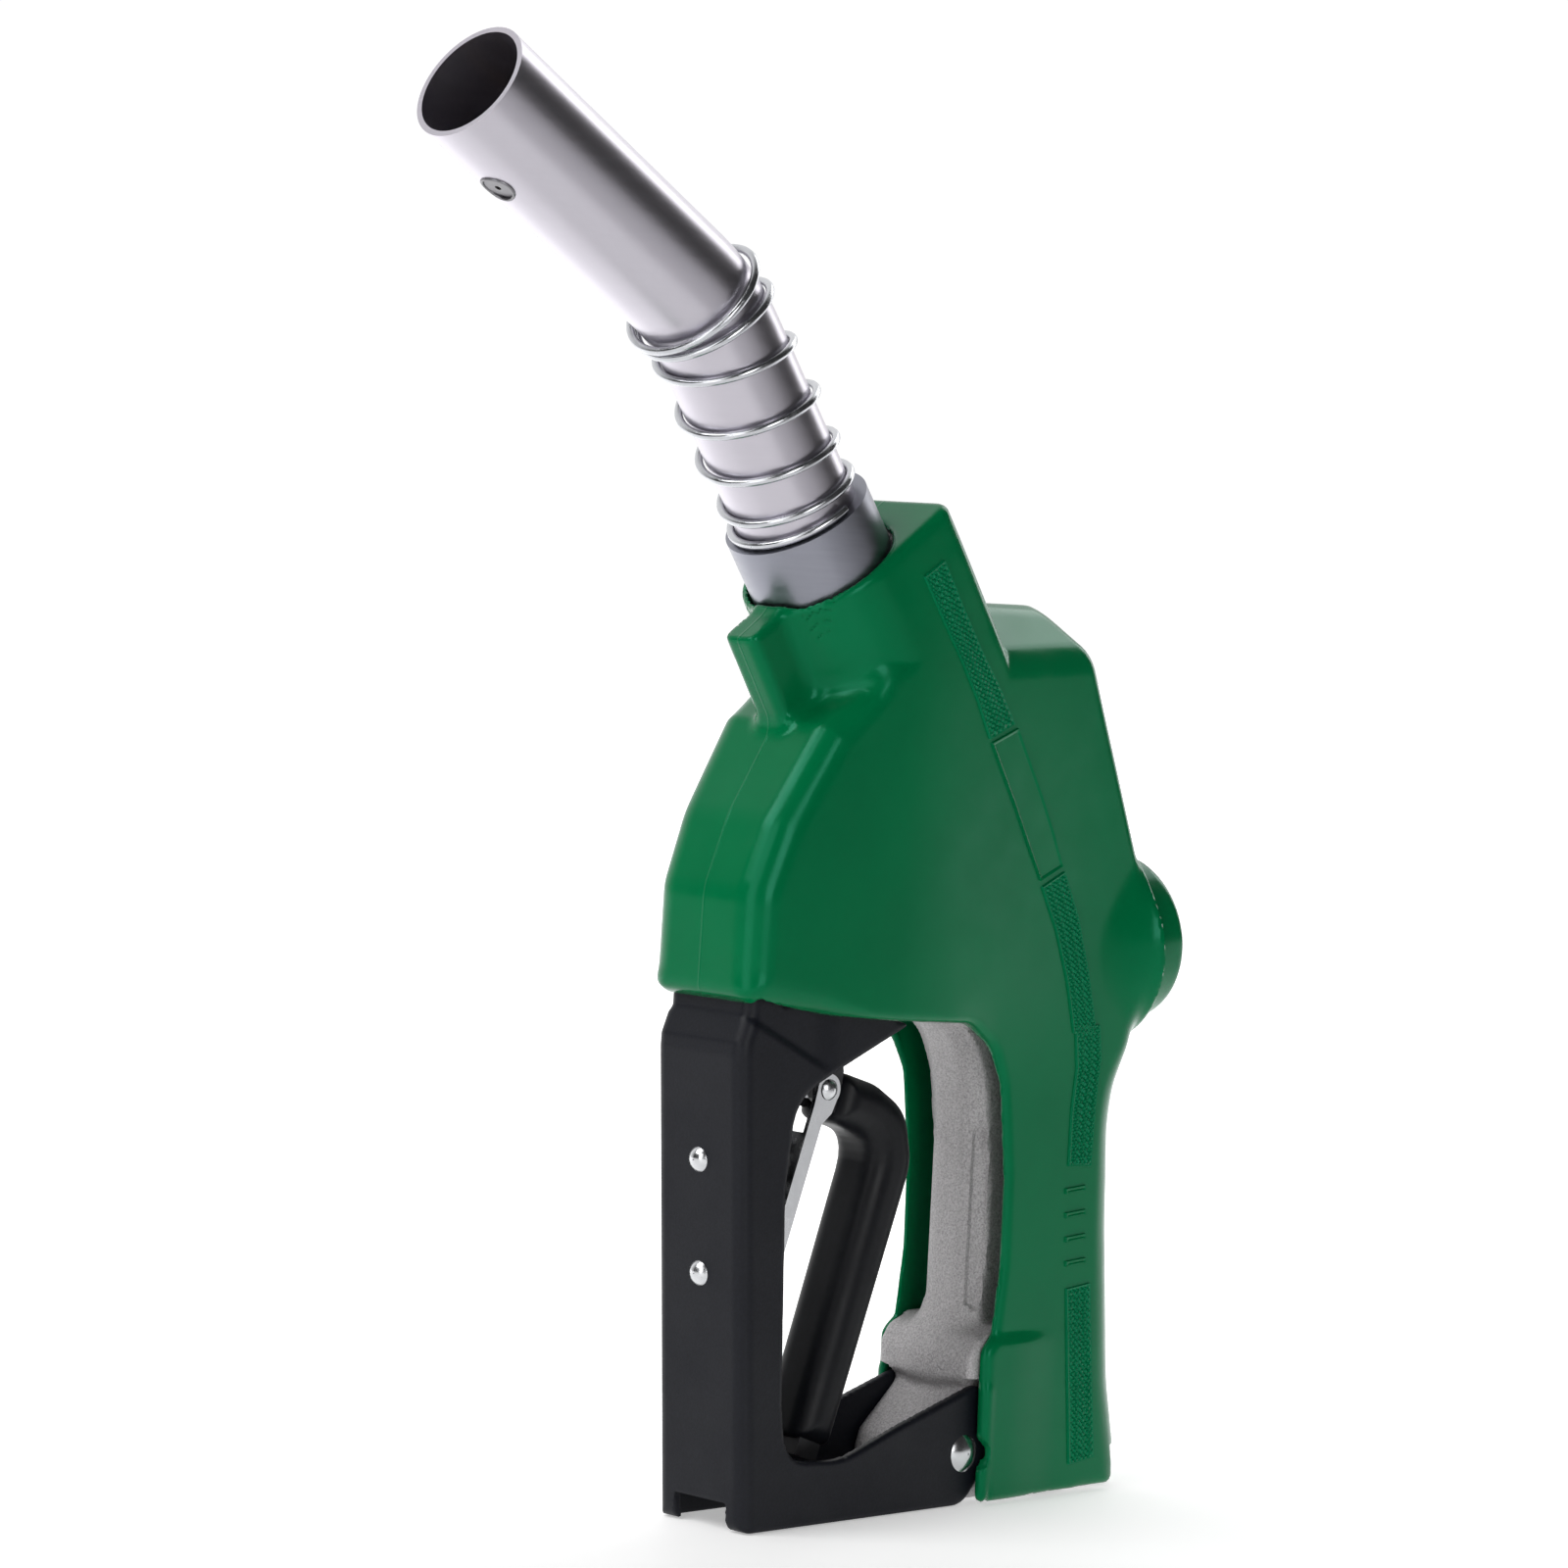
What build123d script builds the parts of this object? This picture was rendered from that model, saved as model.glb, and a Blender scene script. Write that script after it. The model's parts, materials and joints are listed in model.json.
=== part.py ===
from build123d import *
import math
import os

# Automatic fuel nozzle, standing on its inlet end and the feet of its hand guard.
# Millimetres. Z is up, Y is across (the nozzle is symmetric about Y = 0), and the spout and
# guard are on the -X side. The origin is the centre of the inlet's mouth.

# ---------------------------------------------------------------- driving dimensions
# spout: distances called t run down the lower axis from the bend
BEND = (-149.5, 340.0)          # where the two straight runs of the axis meet
UPPER_LEAN = 59.46              # degrees from vertical
LOWER_LEAN = 35.91
UPPER_RUN = 104.5
BEND_RADIUS = 60.0
SPOUT_R = 17.5
SPOUT_BORE = 15.9
SPOUT_END = 106.0
COLLAR_R = 21.3
COLLAR_TOP = 68.0
COLLAR_END = 112.0
RIM = 85.0
PASSAGE_R = 15.0
PORT_FROM_TIP = 24.0
PORT_R = 4.6
SCREW_R = 2.5

PASSAGE_END = 172.0
SCREW_AT = 96.0
COLLAR_GROOVE = (102.6, 105.4)
COLLAR_ORING = (20.1, 1.15)     # mean radius, wire radius
GUIDE_SPAN = (114.0, 118.0)
SEAT_SPAN = (132.0, 137.0)
POPPET_FACE = 131.7
SCREW_END = 27.0

# springs: mean radius, wire radius, start, end, turns
SPOUT_COIL = (19.2, 1.15, 7.6, 67.9, 4)
CHECK_COIL = (3.5, 0.5, 118.1, 122.8, 3)
DIAPHRAGM_COIL = (6.5, 0.35, -6.75, -5.0, 1.5)
PLUNGER_COIL = (6.15, 0.6, 26.9, 35.9, 5)
MAIN_COIL = (11, 0.9, 6.1, 43.7, 8)
LATCH_COIL = (2.9, 0.4, -3.4, 3.4, 5)

# cover and casting
COVER_T = 2.2
SKIN_GAP = 0.1
GRIP_HALF = 20.8                # half width at the front block and the grip
CORE_HALF = 25.6                # half width over the valve and the hump
KEEL_HALF = 6.0                 # half width of the narrow nose under the rim
NECK_R = 27.0
DOME_R = 25.2
DOME_BASE_R = 29.5
CREST = (2.0, 262.9)             # where the hump's top starts to fall away, (y, z)
ROOF_SLOPE = 0.7
EDGE_R = 5.0                    # rounding of the long edges
SLOT_HALF = 9.0                 # slot for the lever's head
LUG_HALF = 14.4                 # casting between the guard's cheeks
NOSE_HALF = 11.0                # narrow front of the casting's grip, between the cover's flanks
NOSE_ROUND = 3.5

# main valve: distances called q run inward along its axis from the dome's face
DOME_FACE = (40.0, 163.4)
VALVE_LEAN = 7.0
VALVE_BORE = 19.0
STEM_R = 3.0
CAP_FLANGE_R = 22.6
CAP_FLANGE_END = 10.0
CAP_SKIRT_END = 20.0
SEAT_FACE = 58.0
SEAT_END = 64.0
THROAT_R = 14.0
THROAT_END = 80.0
POPPET_BACK = 48.0
POPPET_FRONT = 55.0
PACKING_R = 6.0
PACKING_START = 101.0
PACKING_END = 106.0
NUT_END = 113.0
STEM_BUTTON_R = 4.0
FIT = 0.05                      # radial clearance of running fits
SNUG = 0.03                     # radial clearance of parts fixed in their holes

# trip plunger: distances called s run from the diaphragm toward the lever's pivot
DIAPHRAGM = (-22.0, 238.0)
PIVOT = (-96.0, 163.0)
STEM_END = 129.9
PLUNGER_R = 5.0
GUIDE_R = 8.0
LATCH_RING_R = 9.0
CAP_R = 16.4
CAP_SCREW_RING = 14.8
CAP_SCREW_R = 1.0
CAP_TOP = -9.0
BALLS_AT = 10.0
BALL_R = 1.6
RING_SEAT = 17.0
SPRING_SEAT = 36.0
TONGUE_AT = 92.0
BOSS_SPAN = (30.0, 70.0)

# inlet and grip
THREAD_R = 16.6
THREAD_DEPTH = 20.0
GRIP_BORE = 11.0

# guard
GUARD_HALF = 17.5
GUARD_INNER = 14.7
PIN_POS = (-37.6, 15.2)
PIN_R = 3.2
PIN_HEAD_R = 5.4
TOP_PIN = (-120.0, 150.5)
TOP_PIN_R = 2.4
WALL_FOOT = (-126.5, 0.0)
WALL_LEAN = 4.43                # the front wall leans forward going up
WALL_T = 2.8
RIVETS = (71.8, 104.0)          # heights up the wall
RIVET_R = 1.9

# lever and hold-open clip
PIVOT_PIN_R = 2.5
CLIP_PIN_R = 1.9
PLATE_IN = 4.3
PLATE_OUT = 6.3
SLEEVE_HALF = 10.0
SLEEVE_T = 15.0
CORE_T = 9.0
CAM = (-94.2, 148.0)
CAM_R = 4.9
CLIP_PIVOT = (-91.9, 122.4)
CLIP_LEAN = 19.0
CLIP_LENGTH = 60.0

MIN = (Align.CENTER, Align.CENTER, Align.MIN)

# Side outline of the body: up the back, over the hump and neck, down the front block to the
# guard, back along the top of the hand opening and down the grip.
BACK = [(34.3, -8), (33.5, 9), (28, 33), (23.7, 78), (22, 107), (22.5, 122), (24, 150), (22.2, 186)]
HUMP = [(-1.5, 248), (-6, 257), (-17, 262.5), (-45.5, 262.7)]
NECK = [(-62, 280.5), (-74, 288), (-97, 272)]
FRONT = [(-112, 226), (-129.7, 200.4), (-137.3, 180.2), (-138, 168), (-137.2, 152), (-134.8, 148.6)]
UNDER = [(-105, 145), (-61.4, 142.1), (-51, 141.5), (-40.2, 136.6), (-34.6, 129.3), (-31.7, 113.5)]
EDGE = [(-29.4, 96), (-29, 70), (-31, 50), (-34.9, 45), (-34.9, 33), (-31.3, 0), (-31.3, -8)]
CORE = [(22.2, 186)] + HUMP
CORE += [(-59, 276), (-92, 262), (-98, 205), (-60, 158), (-28, 140), (12, 128), (24, 150)]
KEEL = [(-120.5, 256), (-129.5, 250.5), (-114.2, 226.2), (-95, 205), (-85, 250)]
# Everything the cover leaves open in front of the grip and under the front block.
OPENING = [(-133, 152), (-133, 120), (-60, 110), (-60, -5), (31.5, -5), (31, 12), (-20, 14),
           (-18, 120), (-30, 146), (-100, 152)]
# The casting's own grip: a narrow nose that stands between the cover's flanks, and a wide foot.
NOSE = [(-10, 48), (-10, 144), (-30, 150), (-60, 146), (-45, 141.5), (-39.5, 136), (-36.4, 130),
        (-33.5, 120), (-32, 110), (-32, 58), (-36, 48)]
FOOT = [(24, 0), (20, 53), (-31, 53), (-34.9, 50), (-38.4, 45), (-38, 38), (-33, 35), (-33, 1), (-28, 0)]
BESIDE_NOSE = [(-60, 53), (-60, 139), (-17, 139), (-17, 53)]
GUARD_SEAT = [(-140, 120), (-140, 158), (-104, 158), (-104, 147.6), (-75.5, 147.6), (-75.5, 120)]
ARM_SEAT = [(-60, -20), (-60, 36.5), (-26.5, 36.5), (-26.5, -20)]
LUG = [(-28, 40), (-37, 30), (-49, 18), (-51, 14), (-50, 9), (-45, 6.5), (-28, 4)]


# ---------------------------------------------------------------- helpers
def down(lean):
    """Unit vector (x, z) pointing down and back, `lean` degrees from vertical."""
    return math.sin(math.radians(lean)), -math.cos(math.radians(lean))


def on(point, direction, distance):
    return point[0] + direction[0] * distance, point[1] + direction[1] * distance


def axis_plane(point, direction):
    """Plane at (x, z) with its Z along `direction`, its X across and its Y down the front."""
    return Plane(origin=(point[0], 0, point[1]), x_dir=(0, 1, 0), z_dir=(direction[0], 0, direction[1]))


def rod(plane, radius, start, end):
    return plane * Pos(0, 0, start) * Cylinder(radius, end - start, align=MIN)


def ring(plane, outer, inner, start, end):
    return rod(plane, outer, start, end) - rod(plane, inner, start - 1, end + 1)


def pin_y(point, radius, low, high):
    """Round bar across the nozzle between two values of y."""
    return Pos(point[0], low, point[1]) * Rot(-90, 0, 0) * Cylinder(radius, high - low, align=MIN)


def side_face(points):
    return make_face(Polyline(*[(x, 0, z) for x, z in points], close=True))


def slab(points, half):
    return extrude(side_face(points), amount=half, dir=(0, 1, 0), both=True)


def between(points, low, high):
    return Pos(0, low, 0) * extrude(side_face(points), amount=high - low, dir=(0, 1, 0))


def pair(points, low, high):
    return [between(points, low, high), between(points, -high, -low)]


def band_face(points, half, radius):
    """Closed strip of even width along three points, its one bend rounded."""
    a, b, c = [Vector(x, 0, z) for x, z in points]
    u = (b - a).normalized()
    v = (c - b).normalized()
    n1 = Vector(u.Z, 0, -u.X)
    n2 = Vector(v.Z, 0, -v.X)
    mitre = (n1 + n2) * (half / (1 + n1.dot(n2)))
    left = FilletPolyline(a + n1 * half, b + mitre, c + n2 * half, radius=bend_side(u, v, radius, half))
    right = FilletPolyline(a - n1 * half, b - mitre, c - n2 * half, radius=bend_side(u, v, radius, -half))
    ends = [Line(left @ 0, right @ 0), Line(left @ 1, right @ 1)]
    return make_face(left.edges() + right.edges() + ends)


def bend_side(u, v, radius, offset_by):
    """Bend radius of a side line `offset_by` along the normals of the two runs."""
    turn = u.Z * v.X - u.X * v.Z
    return radius - offset_by if turn > 0 else radius + offset_by


def spring(plane, radius, wire, start, end, turns):
    height = end - start - 2 * wire
    path = Helix(pitch=height / turns, height=height, radius=radius)
    section = Plane(origin=path @ 0, z_dir=path % 0) * Circle(wire)
    return plane * Pos(0, 0, start + wire) * sweep(section, path=path, is_frenet=True)


def write(name, *shapes):
    solids = []
    for shape in shapes:
        solids += shape.solids()
    export_step(solids[0] if len(solids) == 1 else Compound(children=solids), f"parts/{name}.step")


DOWN = down(LOWER_LEAN)
UP_TIP = tuple(-c for c in down(UPPER_LEAN))
TIP = on(BEND, UP_TIP, UPPER_RUN)
spout_axis = axis_plane(BEND, DOWN)
tip_axis = axis_plane(TIP, UP_TIP)
VALVE_DIR = (-math.cos(math.radians(VALVE_LEAN)), -math.sin(math.radians(VALVE_LEAN)))
valve_axis = axis_plane(DOME_FACE, VALVE_DIR)
TRIP_RUN = math.dist(DIAPHRAGM, PIVOT)
TRIP_DIR = ((PIVOT[0] - DIAPHRAGM[0]) / TRIP_RUN, (PIVOT[1] - DIAPHRAGM[1]) / TRIP_RUN)
trip_axis = axis_plane(DIAPHRAGM, TRIP_DIR)
screw_axis = axis_plane(on(BEND, DOWN, SCREW_AT), (DOWN[1], -DOWN[0]))
WALL_UP = (-math.sin(math.radians(WALL_LEAN)), math.cos(math.radians(WALL_LEAN)))
WALL_IN = (WALL_UP[1], -WALL_UP[0])


def wall_point(height, depth):
    """Point (x, z) at a height up the guard's front wall and a depth behind its outer face."""
    return on(on(WALL_FOOT, WALL_UP, height), WALL_IN, depth)


# ---------------------------------------------------------------- body and cover
def rounded(points, half, radius):
    """Slab of a side outline with its long edges rounded."""
    shape = slab(points, half)
    long_edges = shape.edges().filter_by(lambda e: abs(abs(e.center().Y) - half) < 0.001)
    return fillet(long_edges, radius)


def inset(points, amount):
    face = offset(side_face(points), amount=-amount, kind=Kind.INTERSECTION)
    wire = face.faces()[0].outer_wire()
    corners = [edge @ 0 for edge in wire.order_edges()]
    return [(corner.X, corner.Z) for corner in corners]


def roof_sides(depth):
    """The wedges that the hump's top loses on either side of its crest."""
    edge = CREST[1] - 1.2 * depth
    drop = ROOF_SLOPE * (40 - CREST[0])
    sides = []
    for sign in (1, -1):
        corners = [(sign * CREST[0], edge), (sign * 40, edge - drop)]
        corners += [(sign * 40, edge + 30), (sign * CREST[0], edge + 30)]
        face = make_face(Polyline(*[(-74, y, z) for y, z in corners], close=True))
        sides.append(extrude(face, amount=100, dir=(1, 0, 0)))
    return sides


def envelope(depth):
    """Outside of the body, `depth` under the cover's surface."""
    radius = EDGE_R - depth
    shape = rounded(inset(OUTLINE, depth) if depth else OUTLINE, GRIP_HALF - depth, radius)
    shape += rounded(inset(CORE, depth) if depth else CORE, CORE_HALF - depth, radius)
    for side in roof_sides(depth):
        shape -= side
    shape += slab(inset(KEEL, depth) if depth else KEEL, KEEL_HALF - depth)
    shape += rod(spout_axis, NECK_R - depth, RIM + depth, 150)
    shape += rod(valve_axis, DOME_R - depth, depth, 20)
    shape += valve_axis * Pos(0, 0, 14 + depth) * Cone(DOME_BASE_R - depth, CORE_HALF - depth, 22, align=MIN)
    return shape


OUTLINE = BACK + HUMP + NECK + FRONT + UNDER + EDGE


def hand_cover():
    shape = envelope(0) - envelope(COVER_T)
    shape -= slab(OPENING, GRIP_HALF - COVER_T)
    shape -= rod(spout_axis, COLLAR_R + 0.1, RIM - 5, RIM + 10)
    shape -= pin_y(PIN_POS, PIN_HEAD_R + 0.4, -30, 30)
    shape -= Pos(0, 0, -20) * Box(120, 80, 21, align=MIN)
    return largest(shape)


def largest(shape):
    """Main solid of a cut, without the slivers beside it."""
    return max(shape.solids(), key=lambda s: s.volume)


def body_casting():
    shape = envelope(COVER_T + SKIN_GAP)
    shape += rounded(FOOT, GRIP_HALF - COVER_T - SKIN_GAP, NOSE_ROUND)
    for side in pair(BESIDE_NOSE, NOSE_HALF, 30):
        shape -= side
    shape += rounded(NOSE, NOSE_HALF, NOSE_ROUND)
    shape += slab(LUG, LUG_HALF)
    shape -= valve_chambers() + flow_passage()
    shape += rod(trip_axis, GUIDE_R, *BOSS_SPAN)
    shape -= trip_bores()
    shape -= slab([(-122, 120), (-122, 179), (-70, 179), (-70, 120)], SLOT_HALF)
    for side in pair(GUARD_SEAT, LUG_HALF, 30) + pair(ARM_SEAT, LUG_HALF, 30):
        shape -= side
    shape -= slab([(-145, 120), (-145, 157), (-127, 157), (-127, 120)], 30)
    shape -= pin_y(PIN_POS, PIN_R + SNUG, -30, 30)
    shape -= pin_y(TOP_PIN, TOP_PIN_R + SNUG, -30, 30)
    shape -= rod(screw_axis, SCREW_R + SNUG, 15, 60)
    shape -= Pos(0, 0, -20) * Box(120, 80, 20, align=MIN)
    return largest(shape)


def valve_chambers():
    cut = rod(valve_axis, CAP_FLANGE_R, -5, CAP_FLANGE_END)
    cut += rod(valve_axis, VALVE_BORE, CAP_FLANGE_END - 1, SEAT_END)
    cut += rod(valve_axis, THROAT_R, SEAT_END, THROAT_END)
    cut += rod(valve_axis, STEM_R + 0.6, THROAT_END - 1, PACKING_START)
    cut += rod(valve_axis, PACKING_R, PACKING_START - 1, 125)
    return cut


def flow_passage():
    elbow = on(BEND, DOWN, PASSAGE_END)
    chamber = on(DOME_FACE, VALVE_DIR, 72)
    cut = rod(spout_axis, PASSAGE_R, COLLAR_END - 1, PASSAGE_END)
    cut += rod(spout_axis, COLLAR_R + SNUG, RIM - 5, COLLAR_END)
    reach = math.dist(elbow, chamber)
    link = axis_plane(elbow, ((chamber[0] - elbow[0]) / reach, (chamber[1] - elbow[1]) / reach))
    cut += rod(link, 12, -6, reach)
    cut += Pos(0, 0, -1) * Cylinder(THREAD_R, THREAD_DEPTH + 1, align=MIN)
    cut += rod(axis_plane((0, 18), (-0.048, 0.999)), GRIP_BORE, 0, 125)
    return cut


def trip_bores():
    cut = rod(trip_axis, CAP_R, -40, 0)
    cut += rod(trip_axis, LATCH_RING_R, -1, RING_SEAT)
    cut += rod(trip_axis, 7.3, RING_SEAT - 1, SPRING_SEAT)
    cut += rod(trip_axis, PLUNGER_R + FIT, SPRING_SEAT - 1, 120)
    for hole in PolarLocations(CAP_SCREW_RING, 4, start_angle=45):
        cut += trip_axis * hole * Pos(0, 0, -1) * Cylinder(CAP_SCREW_R + 0.02, 4.6, align=MIN)
    return cut


# ---------------------------------------------------------------- spout
def bent_bar(radius, start, end, side=0.0):
    """Round bar along the spout, from `start` past the tip to `end` on the lower run."""
    top_upper = (UP_TIP[1], -UP_TIP[0])
    top_lower = (-DOWN[1], DOWN[0])
    back = BEND_RADIUS * math.tan(math.radians(UPPER_LEAN - LOWER_LEAN) / 2)
    a = on(on(TIP, UP_TIP, start), top_upper, side)
    b = on(on(BEND, UP_TIP, back), top_upper, side)
    c = on(on(BEND, DOWN, back), top_lower, side)
    d = on(on(BEND, DOWN, end), top_lower, side)
    a, b, c, d = [Vector(x, 0, z) for x, z in (a, b, c, d)]
    upper = Line(a, b)
    bend = TangentArc(b, c, tangent=upper % 1)
    path = Wire([upper, bend, Line(c, d)])
    section = Plane(origin=a, z_dir=upper % 0) * Circle(radius)
    return sweep(section, path=path)


def spout_tube():
    shape = bent_bar(SPOUT_R, 0, SPOUT_END) - bent_bar(SPOUT_BORE, 2, SPOUT_END + 2)
    return shape - rod(port_axis, PORT_R, -8, 5)


def spout_collar():
    shape = rod(spout_axis, COLLAR_R, COLLAR_TOP, COLLAR_END)
    shape -= rod(spout_axis, SPOUT_R + SNUG, COLLAR_TOP - 1, SPOUT_END + 0.1)
    shape -= rod(spout_axis, SPOUT_BORE, SPOUT_END - 1, COLLAR_END + 1)
    shape -= ring(spout_axis, COLLAR_R + 1, 18.9, *COLLAR_GROOVE)
    return shape - rod(screw_axis, SCREW_R + SNUG, 19.6, 30)


def collar_oring():
    return spout_axis * Pos(0, 0, sum(COLLAR_GROOVE) / 2) * Torus(*COLLAR_ORING)


def spout_screw():
    shape = rod(screw_axis, SCREW_R, 19.8, SCREW_END)
    return shape - screw_axis * Pos(0, 0, SCREW_END - 2) * extrude(RegularPolygon(1.4, 6), 3)


def vacuum_tube():
    side = -(SPOUT_BORE - 2.1)
    shape = bent_bar(2.0, -PORT_FROM_TIP + 3, 110, side) - bent_bar(1.2, -PORT_FROM_TIP + 1, 109, side)
    return shape - rod(port_axis, PORT_R + 0.3, -4.2, 5)


def vacuum_port_plug():
    shape = rod(port_axis, PORT_R - SNUG, -2.6, -0.4)
    return shape - rod(port_axis, 0.9, -4, 1)


def check_seat():
    return ring(spout_axis, PASSAGE_R - SNUG, 9.5, *SEAT_SPAN)


def check_poppet():
    head = rod(spout_axis, 11.5, POPPET_FACE - 3.5, POPPET_FACE)
    return head + rod(spout_axis, 2, 110.5, POPPET_FACE - 2.7)


def check_guide():
    shape = ring(spout_axis, PASSAGE_R - SNUG, 12, *GUIDE_SPAN)
    shape += rod(spout_axis, 4.5, *GUIDE_SPAN)
    for turn in (0, 120, 240):
        shape += spout_axis * Rot(0, 0, turn) * Pos(8, 0, GUIDE_SPAN[0]) * Box(9, 2.5, 4, align=MIN)
    return shape - rod(spout_axis, 2 + FIT, GUIDE_SPAN[0] - 2, GUIDE_SPAN[1] + 2)


# ---------------------------------------------------------------- automatic shut-off
def diaphragm_cap():
    shape = rod(trip_axis, CAP_R - FIT, CAP_TOP, -SNUG) - rod(trip_axis, 13.3, CAP_TOP + COVER_T, 1)
    for hole in PolarLocations(CAP_SCREW_RING, 4, start_angle=45):
        shape -= trip_axis * hole * Pos(0, 0, -13) * Cylinder(CAP_SCREW_R + 0.02, 14, align=MIN)
    return shape


def cap_screws():
    screws = []
    for hole in PolarLocations(CAP_SCREW_RING, 4, start_angle=45):
        head = Pos(0, 0, CAP_TOP - 1) * Cylinder(1.5, 0.97, align=MIN)
        shank = Pos(0, 0, CAP_TOP - 0.2) * Cylinder(CAP_SCREW_R, 12, align=MIN)
        screws.append(trip_axis * hole * (head + shank))
    return screws


def diaphragm():
    return ring(trip_axis, 12.9, 2.2 + SNUG, -2.2, -1.0)


def latch_pin():
    return rod(trip_axis, 4, -3.3, -2.2 - SNUG) + rod(trip_axis, 2.2, -3, 12)


def latch_ring():
    shape = ring(trip_axis, LATCH_RING_R - SNUG, PLUNGER_R + FIT, 3, RING_SEAT - 0.1)
    return shape - ring(trip_axis, 5.6, 1, 8, 16)


def latch_balls():
    balls = []
    for spot in PolarLocations(3.88, 3):
        balls.append(trip_axis * spot * Pos(0, 0, BALLS_AT) * Sphere(BALL_R))
    return balls


def trip_plunger():
    shape = rod(trip_axis, PLUNGER_R, 4, TONGUE_AT + 1) + rod(trip_axis, 7, 20, 22.5)
    shape -= rod(trip_axis, 2.28, 3, 16)
    for spot in PolarLocations(0, 3):
        window = Rot(0, 90, 0) * Cylinder(BALL_R + 0.06, 8, align=MIN)
        shape -= trip_axis * spot * Pos(0, 0, BALLS_AT) * window
    tongue = trip_axis * Pos(0, 0, TONGUE_AT) * Box(7.8, 10, TRIP_RUN - TONGUE_AT, align=MIN)
    shape += tongue + pin_y(PIVOT, PLUNGER_R, -3.9, 3.9)
    return shape - pin_y(PIVOT, PIVOT_PIN_R + FIT, -10, 10)


# ---------------------------------------------------------------- main valve
def poppet_cap():
    shape = rod(valve_axis, CAP_FLANGE_R - 0.1, 2.5, CAP_FLANGE_END - SNUG)
    shape += rod(valve_axis, VALVE_BORE - SNUG, CAP_FLANGE_END - 1, CAP_SKIRT_END)
    shape -= rod(valve_axis, 13, 6, CAP_SKIRT_END + 1)
    shape -= ring(valve_axis, 25, 17.1, 12, 14.2)
    return shape - valve_axis * Pos(0, 0, 1) * extrude(RegularPolygon(7, 6), 4)


def cap_oring():
    return valve_axis * Pos(0, 0, 13.1) * Torus(18.1, 0.85)


def main_poppet():
    disc = rod(valve_axis, 15.5, POPPET_BACK, POPPET_FRONT)
    return disc + rod(valve_axis, 8, POPPET_BACK - 6, POPPET_BACK + 1)


def poppet_seal():
    return ring(valve_axis, 15, STEM_R + SNUG, POPPET_FRONT + SNUG, SEAT_FACE - 0.5)


def valve_seat():
    return ring(valve_axis, VALVE_BORE - SNUG, 12.5, SEAT_FACE, SEAT_END - SNUG)


def valve_stem():
    shape = rod(valve_axis, STEM_R, POPPET_FRONT + SNUG, STEM_END)
    return shape + rod(valve_axis, STEM_BUTTON_R, STEM_END - 4, STEM_END)


def stem_packing():
    return ring(valve_axis, PACKING_R - SNUG, STEM_R + FIT, PACKING_START + SNUG, PACKING_END)


def packing_nut():
    shape = rod(valve_axis, PACKING_R - SNUG, PACKING_END + 0.1, NUT_END)
    shape += valve_axis * Pos(0, 0, NUT_END - 1.4) * extrude(RegularPolygon(7, 6, major_radius=False), 4)
    return shape - rod(valve_axis, STEM_R + FIT, PACKING_START, NUT_END + 7)


def inlet_strainer():
    plane = axis_plane((0, 18), (-0.048, 0.999))
    shape = rod(plane, GRIP_BORE - SNUG, 3.5, 34) - rod(plane, 9.9, 1, 33)
    for level in range(5):
        for spot in PolarLocations(0, 8, start_angle=22.5 * (level % 2)):
            hole = Pos(0, 0, 8 + 5 * level) * Rot(0, 90, 0) * Cylinder(1.4, 14, align=MIN)
            shape -= plane * spot * hole
    return shape


# ---------------------------------------------------------------- guard
CHEEK = [(-126.5, 0), (-136.9, 135), (-133.6, 144), (-132.2, 148), (-131, 155), (-112, 155), (-105, 147.2),
         (-76, 147.2), (-76, 142.8), (-69.8, 141.4), (-96.4, 130.1), (-104.4, 125.9), (-108.7, 121.7),
         (-113.9, 112.8), (-116.1, 106.1),
         (-116.1, 95.1), (-113.3, 38.1), (-110.7, 30.5), (-106, 25.1), (-99.9, 21.2), (-92.3, 19.1),
         (-85.9, 19.4), (-77.2, 21.2), (-64.2, 25.7), (-33.9, 34), (-29.6, 31.6), (-28.4, 27.3),
         (-27.2, 12.8), (-29.4, 9.2), (-35.6, 2.8), (-41, 0)]
FRONT_WALL = [(-126.5, 0), (-136.9, 135), (-133.6, 144), (-132.2, 148), (-131, 155), (-128.2, 155),
              (-129.4, 148), (-130.9, 144), (-134.1, 135), (-123.7, 0)]


def guard():
    shape = slab(FRONT_WALL, GUARD_HALF)
    for cheek in pair(CHEEK, GUARD_INNER, GUARD_HALF):
        shape += cheek
    shape += slab([(-125, 7.9), (-125, 10.4), (-53, 10.4), (-53, 7.9)], GUARD_HALF - 1)
    outer = shape.edges().filter_by(lambda e: abs(e.center().Y) > 17.4 and e.center().X < -126.5)
    shape = fillet(outer, 2.6)
    shape -= slab([(-140, -1), (-140, 7.9), (-118, 7.9), (-118, -1)], 10)
    shape -= pin_y(PIN_POS, PIN_R + SNUG, -30, 30)
    shape -= pin_y(TOP_PIN, TOP_PIN_R + SNUG, -30, 30)
    for height in RIVETS:
        shape -= rod(axis_plane(wall_point(height, 0), WALL_IN), RIVET_R + SNUG, -8, 6)
    return shape


def guard_rivets():
    rivets = []
    for height in RIVETS:
        plane = axis_plane(wall_point(height, 0), WALL_IN)
        shank = rod(plane, RIVET_R, -1, 5) + rod(plane, 2.8, 4.4, 5.4)
        rivets.append(shank + button(plane, 3.6, -0.08, -2.0))
    return rivets


def button(plane, radius, base, top):
    """Domed head between two distances along a plane's axis, its crown at `top`."""
    height = abs(top - base)
    crown = (radius ** 2 + height ** 2) / (2 * height)
    centre = top + crown if top < base else top - crown
    ball = plane * Pos(0, 0, centre) * Sphere(crown)
    return ball & rod(plane, radius, min(base, top), max(base, top))


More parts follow.
